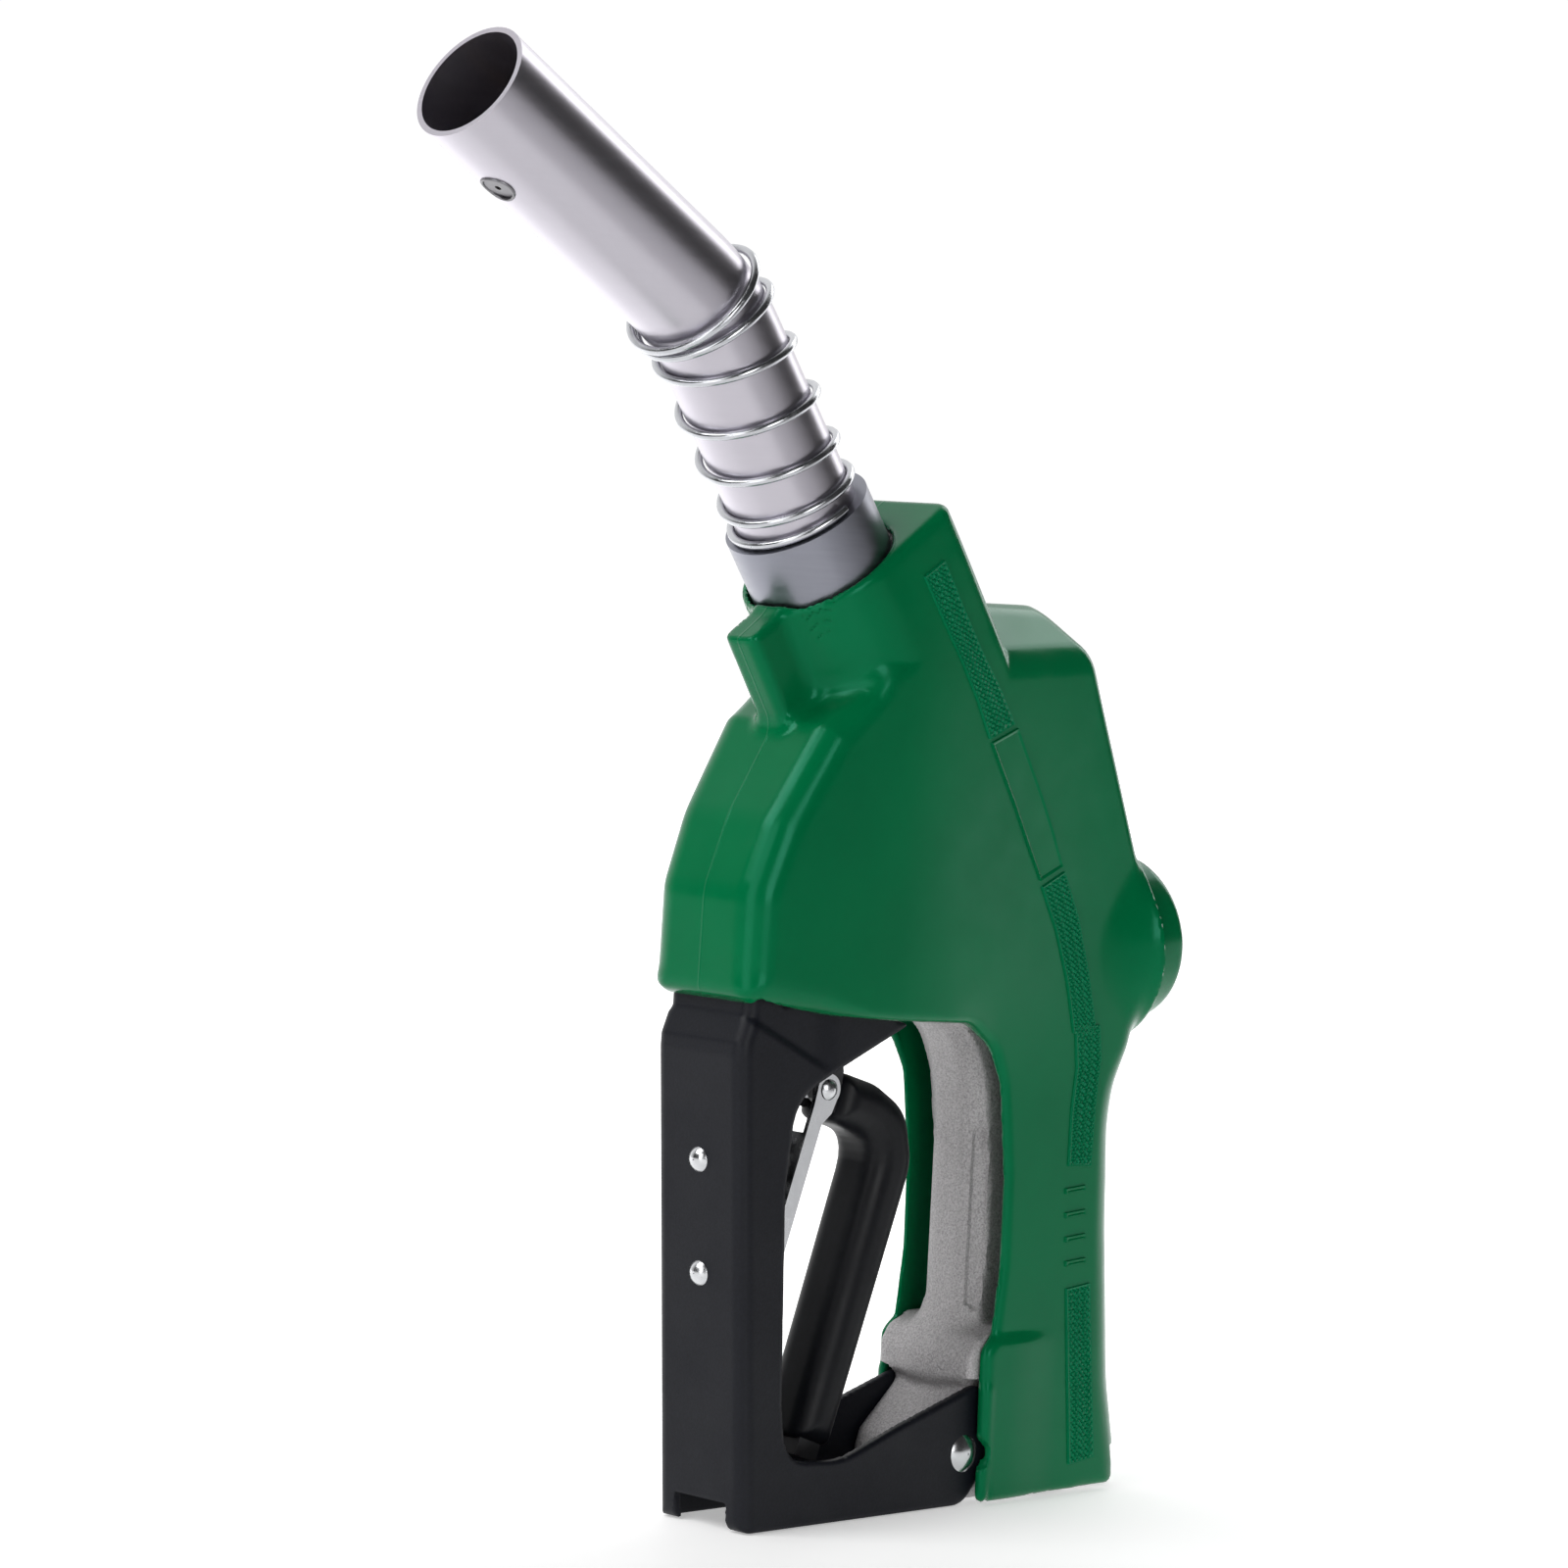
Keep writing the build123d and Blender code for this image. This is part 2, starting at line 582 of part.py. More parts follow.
def hold_open_rack():
    low, high, face, root = 58, 118, 2.85, 4.3
    outline = [wall_point(low, face), wall_point(low, root)]
    for tooth in range(3):
        foot = 77 + 8 * tooth
        outline += [wall_point(foot, root), wall_point(foot + 1.5, 7.3), wall_point(foot + 3, 7.3),
                    wall_point(foot + 7, root)]
    outline += [wall_point(high, root), wall_point(high, face)]
    shape = slab(outline, 6)
    for height in RIVETS:
        shape -= rod(axis_plane(wall_point(height, 0), WALL_IN), RIVET_R + SNUG, -8, 8)
    return shape


def guard_pin():
    plane = Plane(origin=(PIN_POS[0], 0, PIN_POS[1]), z_dir=(0, 1, 0))
    return rod(plane, PIN_R, -18, 19.6) + button(plane, PIN_HEAD_R, -GUARD_HALF - FIT, -19.2)


def guard_pin_clip():
    plane = Plane(origin=(PIN_POS[0], 0, PIN_POS[1]), z_dir=(0, 1, 0))
    return ring(plane, 5.2, PIN_R + SNUG, GUARD_HALF + 0.05, 18.7)


def guard_top_pin():
    return pin_y(TOP_PIN, TOP_PIN_R, -GUARD_HALF, GUARD_HALF)


# ---------------------------------------------------------------- lever and clip
LEVER_LINE = [(-86.97, 120.0), (-58.95, 111.65), (-90.5, 21.0)]
CORE_LINE = LEVER_LINE[:2] + [(-92.0, 16.8)]
LEVER_BEND = 16.5
PLATE = [(-101.8, 166), (-98.5, 169), (-93.5, 169), (-90.2, 166), (-89, 154), (-88.4, 145), (-84.6, 127.2),
         (-85.2, 123.5), (-88.5, 116), (-92.5, 116.6), (-96.6, 120), (-98, 126), (-99.4, 145)]


def lever_core():
    shape = extrude(band_face(CORE_LINE, CORE_T / 2, LEVER_BEND), amount=PLATE_OUT, dir=(0, 1, 0), both=True)
    for side in pair(PLATE, PLATE_IN, PLATE_OUT):
        shape += side
    shape += pin_y(CAM, CAM_R, -PLATE_OUT, PLATE_OUT)
    shape -= pin_y(PIVOT, PIVOT_PIN_R + SNUG, -10, 10)
    return shape - pin_y(CLIP_PIVOT, CLIP_PIN_R + SNUG, -10, 10)


def lever_sleeve():
    face = band_face(LEVER_LINE, SLEEVE_T / 2, LEVER_BEND)
    shape = extrude(face, amount=SLEEVE_HALF, dir=(0, 1, 0), both=True)
    long_edges = shape.edges().filter_by(lambda e: abs(abs(e.center().Y) - SLEEVE_HALF) < 0.001)
    shape = fillet(long_edges, 4.5)
    room = band_face(CORE_LINE, CORE_T / 2 + SNUG, LEVER_BEND)
    shape -= extrude(room, amount=PLATE_OUT + SNUG, dir=(0, 1, 0), both=True)
    for side in pair(PLATE, PLATE_IN - 1, PLATE_OUT + SNUG):
        shape -= side
    return largest(shape)


def lever_pivot_pin():
    return pin_y(PIVOT, PIVOT_PIN_R, -8.6, 8.6)


def clip_point(run_down, across):
    u = (-math.sin(math.radians(CLIP_LEAN)), -math.cos(math.radians(CLIP_LEAN)))
    return on(on(CLIP_PIVOT, u, run_down), (-u[1], u[0]), across)


def hold_open_latch():
    cheek = [clip_point(0, 4.4), clip_point(6, 3.6), clip_point(10, 1), clip_point(CLIP_LENGTH, 1),
             clip_point(CLIP_LENGTH, -4), clip_point(6, -4), clip_point(0, -4.4)]
    web = [clip_point(14, -4), clip_point(CLIP_LENGTH, -4)]
    web += [clip_point(CLIP_LENGTH, -2.6), clip_point(14, -2.6)]
    shape = slab(web, 8)
    for side in pair(cheek, 6.6, 8):
        shape += side
    for low in (6.6, -8):
        shape += pin_y(CLIP_PIVOT, 4.5, low, low + 1.4)
    return shape - pin_y(CLIP_PIVOT, CLIP_PIN_R + FIT, -10, 10)


def latch_pivot_pin():
    plane = Plane(origin=(CLIP_PIVOT[0], 0, CLIP_PIVOT[1]), z_dir=(0, 1, 0))
    return rod(plane, CLIP_PIN_R, -8.5, 8.5) + button(plane, 3, -8.3, -9.6) + button(plane, 3, 8.3, 9.6)


def latch_spring():
    plane = Plane(origin=(CLIP_PIVOT[0], 0, CLIP_PIVOT[1]), z_dir=(0, 1, 0))
    return spring(plane, *LATCH_COIL)


port_axis = axis_plane(on(on(TIP, UP_TIP, -PORT_FROM_TIP), (-UP_TIP[1], UP_TIP[0]), SPOUT_R),
                       (-UP_TIP[1], UP_TIP[0]))

# ---------------------------------------------------------------- write every piece
os.makedirs("parts", exist_ok=True)
write("hand_cover", hand_cover())
write("body_casting", body_casting())
write("spout_tube", spout_tube())
write("spout_collar", spout_collar())
write("collar_oring", collar_oring())
write("spout_spring", spring(spout_axis, *SPOUT_COIL))
write("spout_screw", spout_screw())
write("vacuum_tube", vacuum_tube())
write("vacuum_port_plug", vacuum_port_plug())
write("check_seat", check_seat())
write("check_poppet", check_poppet())
write("check_guide", check_guide())
write("check_spring", spring(spout_axis, *CHECK_COIL))
write("diaphragm_cap", diaphragm_cap())
write("cap_screws", *cap_screws())
write("diaphragm", diaphragm())
write("diaphragm_spring", spring(trip_axis, *DIAPHRAGM_COIL))
write("latch_pin", latch_pin())
write("latch_ring", latch_ring())
write("latch_balls", *latch_balls())
write("trip_plunger", trip_plunger())
write("plunger_spring", spring(trip_axis, *PLUNGER_COIL))
write("poppet_cap", poppet_cap())
write("cap_oring", cap_oring())
write("main_spring", spring(valve_axis, *MAIN_COIL))
write("main_poppet", main_poppet())
write("poppet_seal", poppet_seal())
write("valve_seat", valve_seat())
write("valve_stem", valve_stem())
write("stem_packing", stem_packing())
write("packing_nut", packing_nut())
write("inlet_strainer", inlet_strainer())
write("guard", guard())
write("guard_rivets", *guard_rivets())
write("hold_open_rack", hold_open_rack())
write("guard_pin", guard_pin())
write("guard_pin_clip", guard_pin_clip())
write("guard_top_pin", guard_top_pin())
write("lever_core", lever_core())
write("lever_sleeve", lever_sleeve())
write("lever_pivot_pin", lever_pivot_pin())
write("hold_open_latch", hold_open_latch())
write("latch_pivot_pin", latch_pivot_pin())
write("latch_spring", latch_spring())
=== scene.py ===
import json
import math
import bpy
import numpy as np
from mathutils import Matrix, Vector


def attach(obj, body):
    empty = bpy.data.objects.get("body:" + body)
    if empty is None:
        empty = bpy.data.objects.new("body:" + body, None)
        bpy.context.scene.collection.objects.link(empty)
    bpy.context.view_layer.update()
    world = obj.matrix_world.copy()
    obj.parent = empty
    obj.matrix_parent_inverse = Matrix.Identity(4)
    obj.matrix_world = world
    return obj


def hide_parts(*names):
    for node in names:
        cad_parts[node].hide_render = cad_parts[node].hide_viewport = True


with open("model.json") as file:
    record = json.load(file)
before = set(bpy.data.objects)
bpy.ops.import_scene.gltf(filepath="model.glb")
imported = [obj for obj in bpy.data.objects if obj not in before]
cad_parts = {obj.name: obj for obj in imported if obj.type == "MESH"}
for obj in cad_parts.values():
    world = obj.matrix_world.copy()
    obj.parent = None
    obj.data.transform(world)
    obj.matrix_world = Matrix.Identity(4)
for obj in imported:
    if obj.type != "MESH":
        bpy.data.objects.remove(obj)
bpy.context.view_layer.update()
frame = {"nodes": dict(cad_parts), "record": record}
nodes = frame["nodes"]
MM = 0.001

# ------------------------------------------------------------------ shared dimensions (mm)
BEND = np.array([-149.5, 340.0])
BASE_LEAN, TIP_LEAN = 35.91, 59.46
DOWN = np.array([math.sin(math.radians(BASE_LEAN)), -math.cos(math.radians(BASE_LEAN))])
BACK = np.array([-DOWN[1], DOWN[0]])
UP_TIP = np.array([-math.sin(math.radians(TIP_LEAN)), math.cos(math.radians(TIP_LEAN))])
DOME_FACE = np.array([40.0, 163.4])
VALVE_DIR = np.array([-math.cos(math.radians(7.0)), -math.sin(math.radians(7.0))])
VALVE_SIDE = np.array([-VALVE_DIR[1], VALVE_DIR[0]])
RIM = 85.0


# ------------------------------------------------------------------ fields
def smoothstep(value, low, high):
    s = np.clip((value - low) / (high - low), 0.0, 1.0)
    return s * s * (3 - 2 * s)


def smooth_union(a, b, k):
    k = np.maximum(k, 0.01)
    h = np.maximum(k - np.abs(a - b), 0.0) / k
    return np.minimum(a, b) - h * h * k * 0.25


def smooth_both(a, b, k):
    return -smooth_union(-a, -b, k)


def round_both(a, b, r):
    """Intersection of two fields, its edge rounded with radius r."""
    u = np.maximum(a + r, 0.0)
    v = np.maximum(b + r, 0.0)
    return np.sqrt(u * u + v * v) + np.minimum(np.maximum(a + r, b + r), 0.0) - r


def rounded_outline(corners, steps=7):
    """Closed outline through (x, z, radius) corners, each rounded with its own radius."""
    points = []
    count = len(corners)
    for i, (x, z, radius) in enumerate(corners):
        here = np.array([x, z], float)
        before = np.array(corners[i - 1][:2], float) - here
        after = np.array(corners[(i + 1) % count][:2], float) - here
        long_before, long_after = np.linalg.norm(before), np.linalg.norm(after)
        u, v = before / long_before, after / long_after
        half = math.acos(np.clip(u @ v, -1, 1)) / 2
        reach = min(radius / max(math.tan(half), 1e-6), 0.49 * long_before, 0.49 * long_after)
        if radius <= 0 or reach < 0.05:
            points.append(here)
            continue
        start, end = here + u * reach, here + v * reach
        for s in np.linspace(0, 1, steps):
            points.append((1 - s) ** 2 * start + 2 * s * (1 - s) * here + s * s * end)
    return np.array(points)


def outline_field(points, x, z):
    """Signed distance in the XZ plane to a closed outline."""
    best = np.full(x.shape, 1e9)
    inside = np.zeros(x.shape, bool)
    for a, b in zip(points, np.roll(points, -1, axis=0)):
        ex, ez = b - a
        wx, wz = x - a[0], z - a[1]
        s = np.clip((wx * ex + wz * ez) / max(ex * ex + ez * ez, 1e-9), 0, 1)
        best = np.minimum(best, (wx - ex * s) ** 2 + (wz - ez * s) ** 2)
        if abs(ez) > 1e-9:
            cross = (a[1] > z) != (b[1] > z)
            inside ^= cross & (x < ex * (z - a[1]) / ez + a[0])
    return np.where(inside, -1.0, 1.0) * np.sqrt(best)


def surface_net(field, low, high, cell):
    """Mesh of field(x, y, z) = 0 inside a box: vertices in mm and quads."""
    axes = [np.arange(l, h + cell, cell) for l, h in zip(low, high)]
    gx, gy, gz = np.meshgrid(*axes, indexing="ij")
    f = field(gx, gy, gz)
    solid = f < 0
    shape = np.array(f.shape) - 1
    total = np.zeros(tuple(shape) + (3,))
    number = np.zeros(tuple(shape))
    corners = [(i, j, k) for i in (0, 1) for j in (0, 1) for k in (0, 1)]

    def part(a, c):
        return a[c[0]:c[0] + shape[0], c[1]:c[1] + shape[1], c[2]:c[2] + shape[2]]

    for axis in range(3):
        for c in corners:
            if c[axis]:
                continue
            d = list(c)
            d[axis] = 1
            fa, fb = part(f, c), part(f, tuple(d))
            crossing = (fa < 0) != (fb < 0)
            s = np.where(crossing, fa / np.where(crossing, fa - fb, 1.0), 0.0)
            for n in range(3):
                total[..., n] += crossing * (c[n] + (s if n == axis else 0.0))
            number += crossing
    active = number > 0
    index = np.full(tuple(shape), -1, np.int64)
    index[active] = np.arange(active.sum())
    cells = np.argwhere(active)
    verts = (cells + total[active] / number[active][:, None]) * cell + np.array(low)
    quads = []
    for axis in range(3):
        b, c = (axis + 1) % 3, (axis + 2) % 3
        cut = [slice(1, -1)] * 3
        cut[axis] = slice(0, -1)
        first = solid[tuple(cut)]
        cut[axis] = slice(1, None)
        second = solid[tuple(cut)]
        for flip in (False, True):
            where = np.argwhere((first & ~second) if not flip else (~first & second))
            base = where.copy()
            base[:, b] += 1
            base[:, c] += 1
            ring = []
            for db, dc in ((0, 0), (-1, 0), (-1, -1), (0, -1)):
                cell_at = base.copy()
                cell_at[:, b] += db
                cell_at[:, c] += dc
                ring.append(index[cell_at[:, 0], cell_at[:, 1], cell_at[:, 2]])
            quad = np.stack(ring, axis=1)
            quads.append(quad[:, ::-1] if flip else quad)
    return verts, np.concatenate(quads)


def snap(field, verts, rounds=3, step=0.05):
    """Moves vertices onto the field's zero."""
    for _ in range(rounds):
        f = field(*verts.T)
        slopes = [(field(*(verts + d).T) - field(*(verts - d).T)) / (2 * step) for d in np.eye(3) * step]
        grad = np.stack(slopes, axis=1)
        size = np.maximum((grad ** 2).sum(axis=1), 0.3)
        move = np.clip(f / size, -0.5, 0.5)
        verts = verts - grad * move[:, None] * 0.9
    return verts


def make_mesh(name, verts, faces, material, body="body", smooth=True, sharp=None):
    mesh = bpy.data.meshes.new(name)
    verts = np.asarray(verts, np.float32) * MM
    faces = np.asarray(faces, np.int32)
    mesh.vertices.add(len(verts))
    mesh.vertices.foreach_set("co", verts.ravel())
    mesh.loops.add(faces.size)
    mesh.loops.foreach_set("vertex_index", faces.ravel())
    mesh.polygons.add(len(faces))
    mesh.polygons.foreach_set("loop_start", np.arange(0, faces.size, faces.shape[1], dtype=np.int32))
    mesh.update(calc_edges=True)
    mesh.validate()
    mesh.polygons.foreach_set("use_smooth", np.full(len(mesh.polygons), smooth))
    if sharp is not None:
        mesh.set_sharp_from_angle(angle=math.radians(sharp))
    mesh.materials.append(material)
    obj = bpy.data.objects.new(name, mesh)
    bpy.context.scene.collection.objects.link(obj)
    bpy.context.view_layer.update()
    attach(obj, body)
    return obj


# ------------------------------------------------------------------ materials
def new_material(name, colour, rough, metal=0.0, specular=0.5):
    mat = bpy.data.materials.new(name)
    mat.use_nodes = True
    tree = mat.node_tree
    shader = tree.nodes["Principled BSDF"]
    shader.inputs["Base Color"].default_value = (*colour, 1.0)
    shader.inputs["Roughness"].default_value = rough
    shader.inputs["Metallic"].default_value = metal
    shader.inputs["Specular IOR Level"].default_value = specular
    return mat, tree, shader


def noise(tree, scale, detail=3.0, stretch=None, rough=0.5):
    """Noise in the object's own coordinates; stretch is (rotation, scale) of its mapping."""
    coords = tree.nodes.new("ShaderNodeTexCoord")
    tex = tree.nodes.new("ShaderNodeTexNoise")
    tex.inputs["Scale"].default_value = scale
    tex.inputs["Detail"].default_value = detail
    tex.inputs["Roughness"].default_value = rough
    if stretch:
        mapping = tree.nodes.new("ShaderNodeMapping")
        mapping.inputs["Rotation"].default_value = stretch[0]
        mapping.inputs["Scale"].default_value = stretch[1]
        tree.links.new(coords.outputs["Object"], mapping.inputs["Vector"])
        tree.links.new(mapping.outputs["Vector"], tex.inputs["Vector"])
    else:
        tree.links.new(coords.outputs["Object"], tex.inputs["Vector"])
    return tex.outputs["Fac"]


def spread(tree, value, low, high, start=0.3, end=0.7):
    """Value from start..end mapped to low..high."""
    node = tree.nodes.new("ShaderNodeMapRange")
    node.inputs["From Min"].default_value = start
    node.inputs["From Max"].default_value = end
    node.inputs["To Min"].default_value = low
    node.inputs["To Max"].default_value = high
    tree.links.new(value, node.inputs["Value"])
    return node.outputs["Result"]


def tint(tree, value, first, second, shader, start=0.3, end=0.7):
    """Base colour that runs from first to second as the value goes from start to end."""
    ramp = tree.nodes.new("ShaderNodeValToRGB")
    ramp.color_ramp.elements[0].position = start
    ramp.color_ramp.elements[0].color = (*first, 1)
    ramp.color_ramp.elements[1].position = end
    ramp.color_ramp.elements[1].color = (*second, 1)
    tree.links.new(value, ramp.inputs["Fac"])
    tree.links.new(ramp.outputs["Color"], shader.inputs["Base Color"])


def bump(tree, shader, layers):
    """Bump from (value, strength, distance in metres) layers."""
    normal = None
    for value, strength, distance in layers:
        node = tree.nodes.new("ShaderNodeBump")
        node.inputs["Strength"].default_value = strength
        node.inputs["Distance"].default_value = distance
        tree.links.new(value, node.inputs["Height"])
        if normal is not None:
            tree.links.new(normal, node.inputs["Normal"])
        normal = node.outputs["Normal"]
    tree.links.new(normal, shader.inputs["Normal"])


def seam(tree, half):
    """Height of a thin moulding line along the nozzle's middle plane."""
    coords = tree.nodes.new("ShaderNodeTexCoord")
    split = tree.nodes.new("ShaderNodeSeparateXYZ")
    size = tree.nodes.new("ShaderNodeMath")
    size.operation = "ABSOLUTE"
    tree.links.new(coords.outputs["Object"], split.inputs["Vector"])
    tree.links.new(split.outputs["Y"], size.inputs[0])
    return spread(tree, size.outputs["Value"], 1.0, 0.0, 0.0, half)


VINYL_SHEEN = (0.22, 0.95, 0.74, 1.0)


def vinyl(name, base, rough, lined):
    """Soft glossy vinyl; lined adds the moulding line."""
    mat, tree, shader = new_material(name, base, rough, specular=0.30)
    shader.inputs["Specular Tint"].default_value = VINYL_SHEEN
    broad = noise(tree, 26, 3)
    tint(tree, broad, tuple(c * 0.94 for c in base), tuple(c * 1.06 for c in base), shader)
    tree.links.new(spread(tree, noise(tree, 90, 4), rough - 0.05, rough + 0.07), shader.inputs["Roughness"])
    layers = [(noise(tree, 900, 2), 0.10, 0.00004), (noise(tree, 60, 2), 0.10, 0.0003)]
    if lined:
        layers.append((seam(tree, 0.0005), 0.35, 0.0002))
    bump(tree, shader, layers)
    return mat


def cast_metal():
    mat, tree, shader = new_material("cast_aluminium", (0.5, 0.5, 0.5), 0.55, metal=0.6)
    grain = noise(tree, 1700, 5, rough=0.7)
    tint(tree, grain, (0.29, 0.28, 0.285), (0.58, 0.565, 0.575), shader, 0.36, 0.62)
    tree.links.new(spread(tree, grain, 0.42, 0.68), shader.inputs["Roughness"])
    bump(tree, shader, [(grain, 1.0, 0.0003), (noise(tree, 420, 3), 0.5, 0.0003)])
    return mat


def brushed(name, colour, rough, lean=None, spread_by=0.08, dark=0.8, scale=700, metal=1.0):
    """Metal with fine marks; with a lean (degrees from vertical) they run round the spout's axis."""
    mat, tree, shader = new_material(name, colour, rough, metal=metal)
    if lean is None:
        marks = noise(tree, scale, 4)
    else:
        marks = noise(tree, scale, 3, stretch=((0, math.radians(lean), 0), (0.12, 0.12, 1.4)))
    low = tuple(c * dark for c in colour)
    tint(tree, marks, low, colour, shader, 0.25, 0.75)
    tree.links.new(spread(tree, marks, rough - spread_by, rough + spread_by), shader.inputs["Roughness"])
    bump(tree, shader, [(marks, 0.03, 0.00002), (noise(tree, 45, 2), 0.06, 0.0002)])
    return mat


def black_plastic(name, colour, rough, grain, strength):
    mat, tree, shader = new_material(name, colour, rough, specular=0.22)
    texture = noise(tree, grain, 3, rough=0.6)
    tint(tree, texture, tuple(c * 0.8 for c in colour), tuple(c * 1.25 for c in colour), shader)
    tree.links.new(spread(tree, noise(tree, 55, 4), rough - 0.05, rough + 0.07), shader.inputs["Roughness"])
    bump(tree, shader, [(texture, strength, 0.00008), (noise(tree, 40, 2), 0.15, 0.0004)])
    return mat


def plain(name, colour, rough, metal, grain=500):
    mat, tree, shader = new_material(name, colour, rough, metal=metal)
    marks = noise(tree, grain, 4)
    tint(tree, marks, tuple(c * 0.8 for c in colour), colour, shader)
    tree.links.new(spread(tree, marks, rough * 0.85, min(rough * 1.25, 1)), shader.inputs["Roughness"])
    bump(tree, shader, [(marks, 0.3, 0.00005)])
    return mat


materials = {
    "cover_green": vinyl("cover_green", (0.0, 0.134, 0.043), 0.19, True),
    "cast_aluminium": cast_metal(),
    "spout_metal": brushed("spout_metal", (0.565, 0.54, 0.595), 0.29, lean=36, spread_by=0.015, dark=0.98),
    "collar_metal": brushed("collar_metal", (0.29, 0.295, 0.34), 0.36, lean=36, spread_by=0.04, dark=0.92),
    "spring_wire": brushed("spring_wire", (0.60, 0.61, 0.64), 0.22, dark=0.85, scale=300),
    "guard_black": black_plastic("guard_black", (0.0052, 0.006, 0.0098), 0.46, 1300, 0.5),
    "sleeve_black": black_plastic("sleeve_black", (0.004, 0.0045, 0.0065), 0.42, 500, 0.12),
    "zinc_plate": brushed("zinc_plate", (0.72, 0.73, 0.75), 0.22, dark=0.78, scale=240),
    "dark_steel": plain("dark_steel", (0.03, 0.03, 0.033), 0.45, 0.3),
    "steel": plain("steel", (0.5, 0.5, 0.51), 0.35, 1.0),
    "brass": plain("brass", (0.72, 0.5, 0.22), 0.33, 1.0),
    "seal_rubber": plain("seal_rubber", (0.015, 0.015, 0.016), 0.6, 0.0),
    "polymer_white": plain("polymer_white", (0.7, 0.69, 0.65), 0.45, 0.0),
}
materials["port_metal"] = brushed("port_metal", (0.25, 0.245, 0.26), 0.35, dark=0.8, scale=300)
strip_green = vinyl("strip_green", (0.0, 0.155, 0.058), 0.30, False)
for part_row in frame["record"]["subparts"]:
    obj = nodes[part_row["node"]]
    chosen = materials["port_metal" if part_row["node"] == "vacuum_port_plug" else part_row["material_slot"]]
    for i in range(len(obj.data.materials)):
        obj.data.materials[i] = chosen

# ------------------------------------------------------------------ hand cover
COVER_SIDE = rounded_outline([
    (34.4, -9, 0), (33.6, 9, 14), (28.3, 33, 60), (23.9, 78, 60), (22.2, 107, 30), (23.0, 120, 30),
    (26, 132, 20), (24.6, 160, 10), (22.3, 186.3, 8), (-2.6, 246, 9), (-9, 262.5, 8), (-45, 263.2, 5),
    (-70, 262, 0), (-98, 236, 0), (-113.2, 226.6, 5), (-129.9, 200.4, 30), (-137.7, 180, 18),
    (-138.2, 151, 5), (-133.5, 148.8, 5), (-123.3, 147.5, 10), (-105.2, 145.1, 10), (-82, 143.3, 10),
    (-61.4, 142.1, 10), (-50, 141.4, 14), (-38.5, 134, 14), (-33, 123, 10), (-31.5, 112, 20),
    (-29.4, 96.3, 20), (-28.8, 70.5, 20), (-30.3, 56.2, 8), (-31, 50, 3), (-34.9, 45.1, 4),
    (-34.8, 33.6, 20), (-33.8, 10.7, 20), (-31.5, 0, 0), (-31.3, -9, 0)])
KEEL_SIDE = rounded_outline([
    (-116, 259.5, 0), (-131.2, 250.4, 3.5), (-114.6, 225, 3), (-100, 205, 0), (-80, 262, 0)])
GAP_SIDE = np.array([
    (-132.8, 152), (-132.8, 120), (-60, 110), (-60, -9), (31.3, -9), (31, 12), (-20, 14), (-18, 120),
    (-30, 146), (-100, 152)], float)

# Sizes of the cover's parts, and centres (x, z) of the guard's two pins
COVER_WALL = 2.3
KEEL_HALF = 6.0
ROOF_SLOPE, ROOF_TOP, ROOF_STEEP = 0.72, 262.9, 1.23
RIM_BORE = 21.9
DOME_R = 25.3
FLARE_R = 29.6
FLARE_FROM, FLARE_TO = 13.6, 34
FLARE_SLOPE, FLARE_STEEP = 0.7, 1.22
GUARD_PIN_AT = (-37.6, 15.2)
TOP_PIN_AT = (-120.0, 150.5)


def along(x, ay, z, point, direction):
    """Distance along an axis in the symmetry plane, and radius from it."""
    s = (x - point[0]) * direction[0] + (z - point[1]) * direction[1]
    off = (x - point[0]) * -direction[1] + (z - point[1]) * direction[0]
    return s, np.sqrt(off ** 2 + ay ** 2)


def half_width(x, z):
    """Half width of the cover before its edges are rounded."""
    core = 26.1 - 5.2 * (np.clip(-60 - x, 0, 90) / 78) ** 2 - 4.3 * smoothstep(x, -85, 5)
    into_grip = 1 - smoothstep(z, 117, 158)
    grip = 21.0 + 1.2 * (1 - smoothstep(z, 46.5, 50.5)) * (1 - smoothstep(x, -24, -2))
    behind = smoothstep(x, -62, -38)
    return core + (grip - core) * into_grip * behind


def edge_radius(x, z):
    """Radius between the cover's flank and its outline."""
    low = smoothstep(z, 110, 160)
    grip = 3.0 + 11.5 * smoothstep(x, -8, 14)
    body = 4.5 + 4.0 * (1 - smoothstep(x, -112, -90)) - 2.2 * (1 - smoothstep(z, 146, 158))
    return grip * (1 - low) + body * low


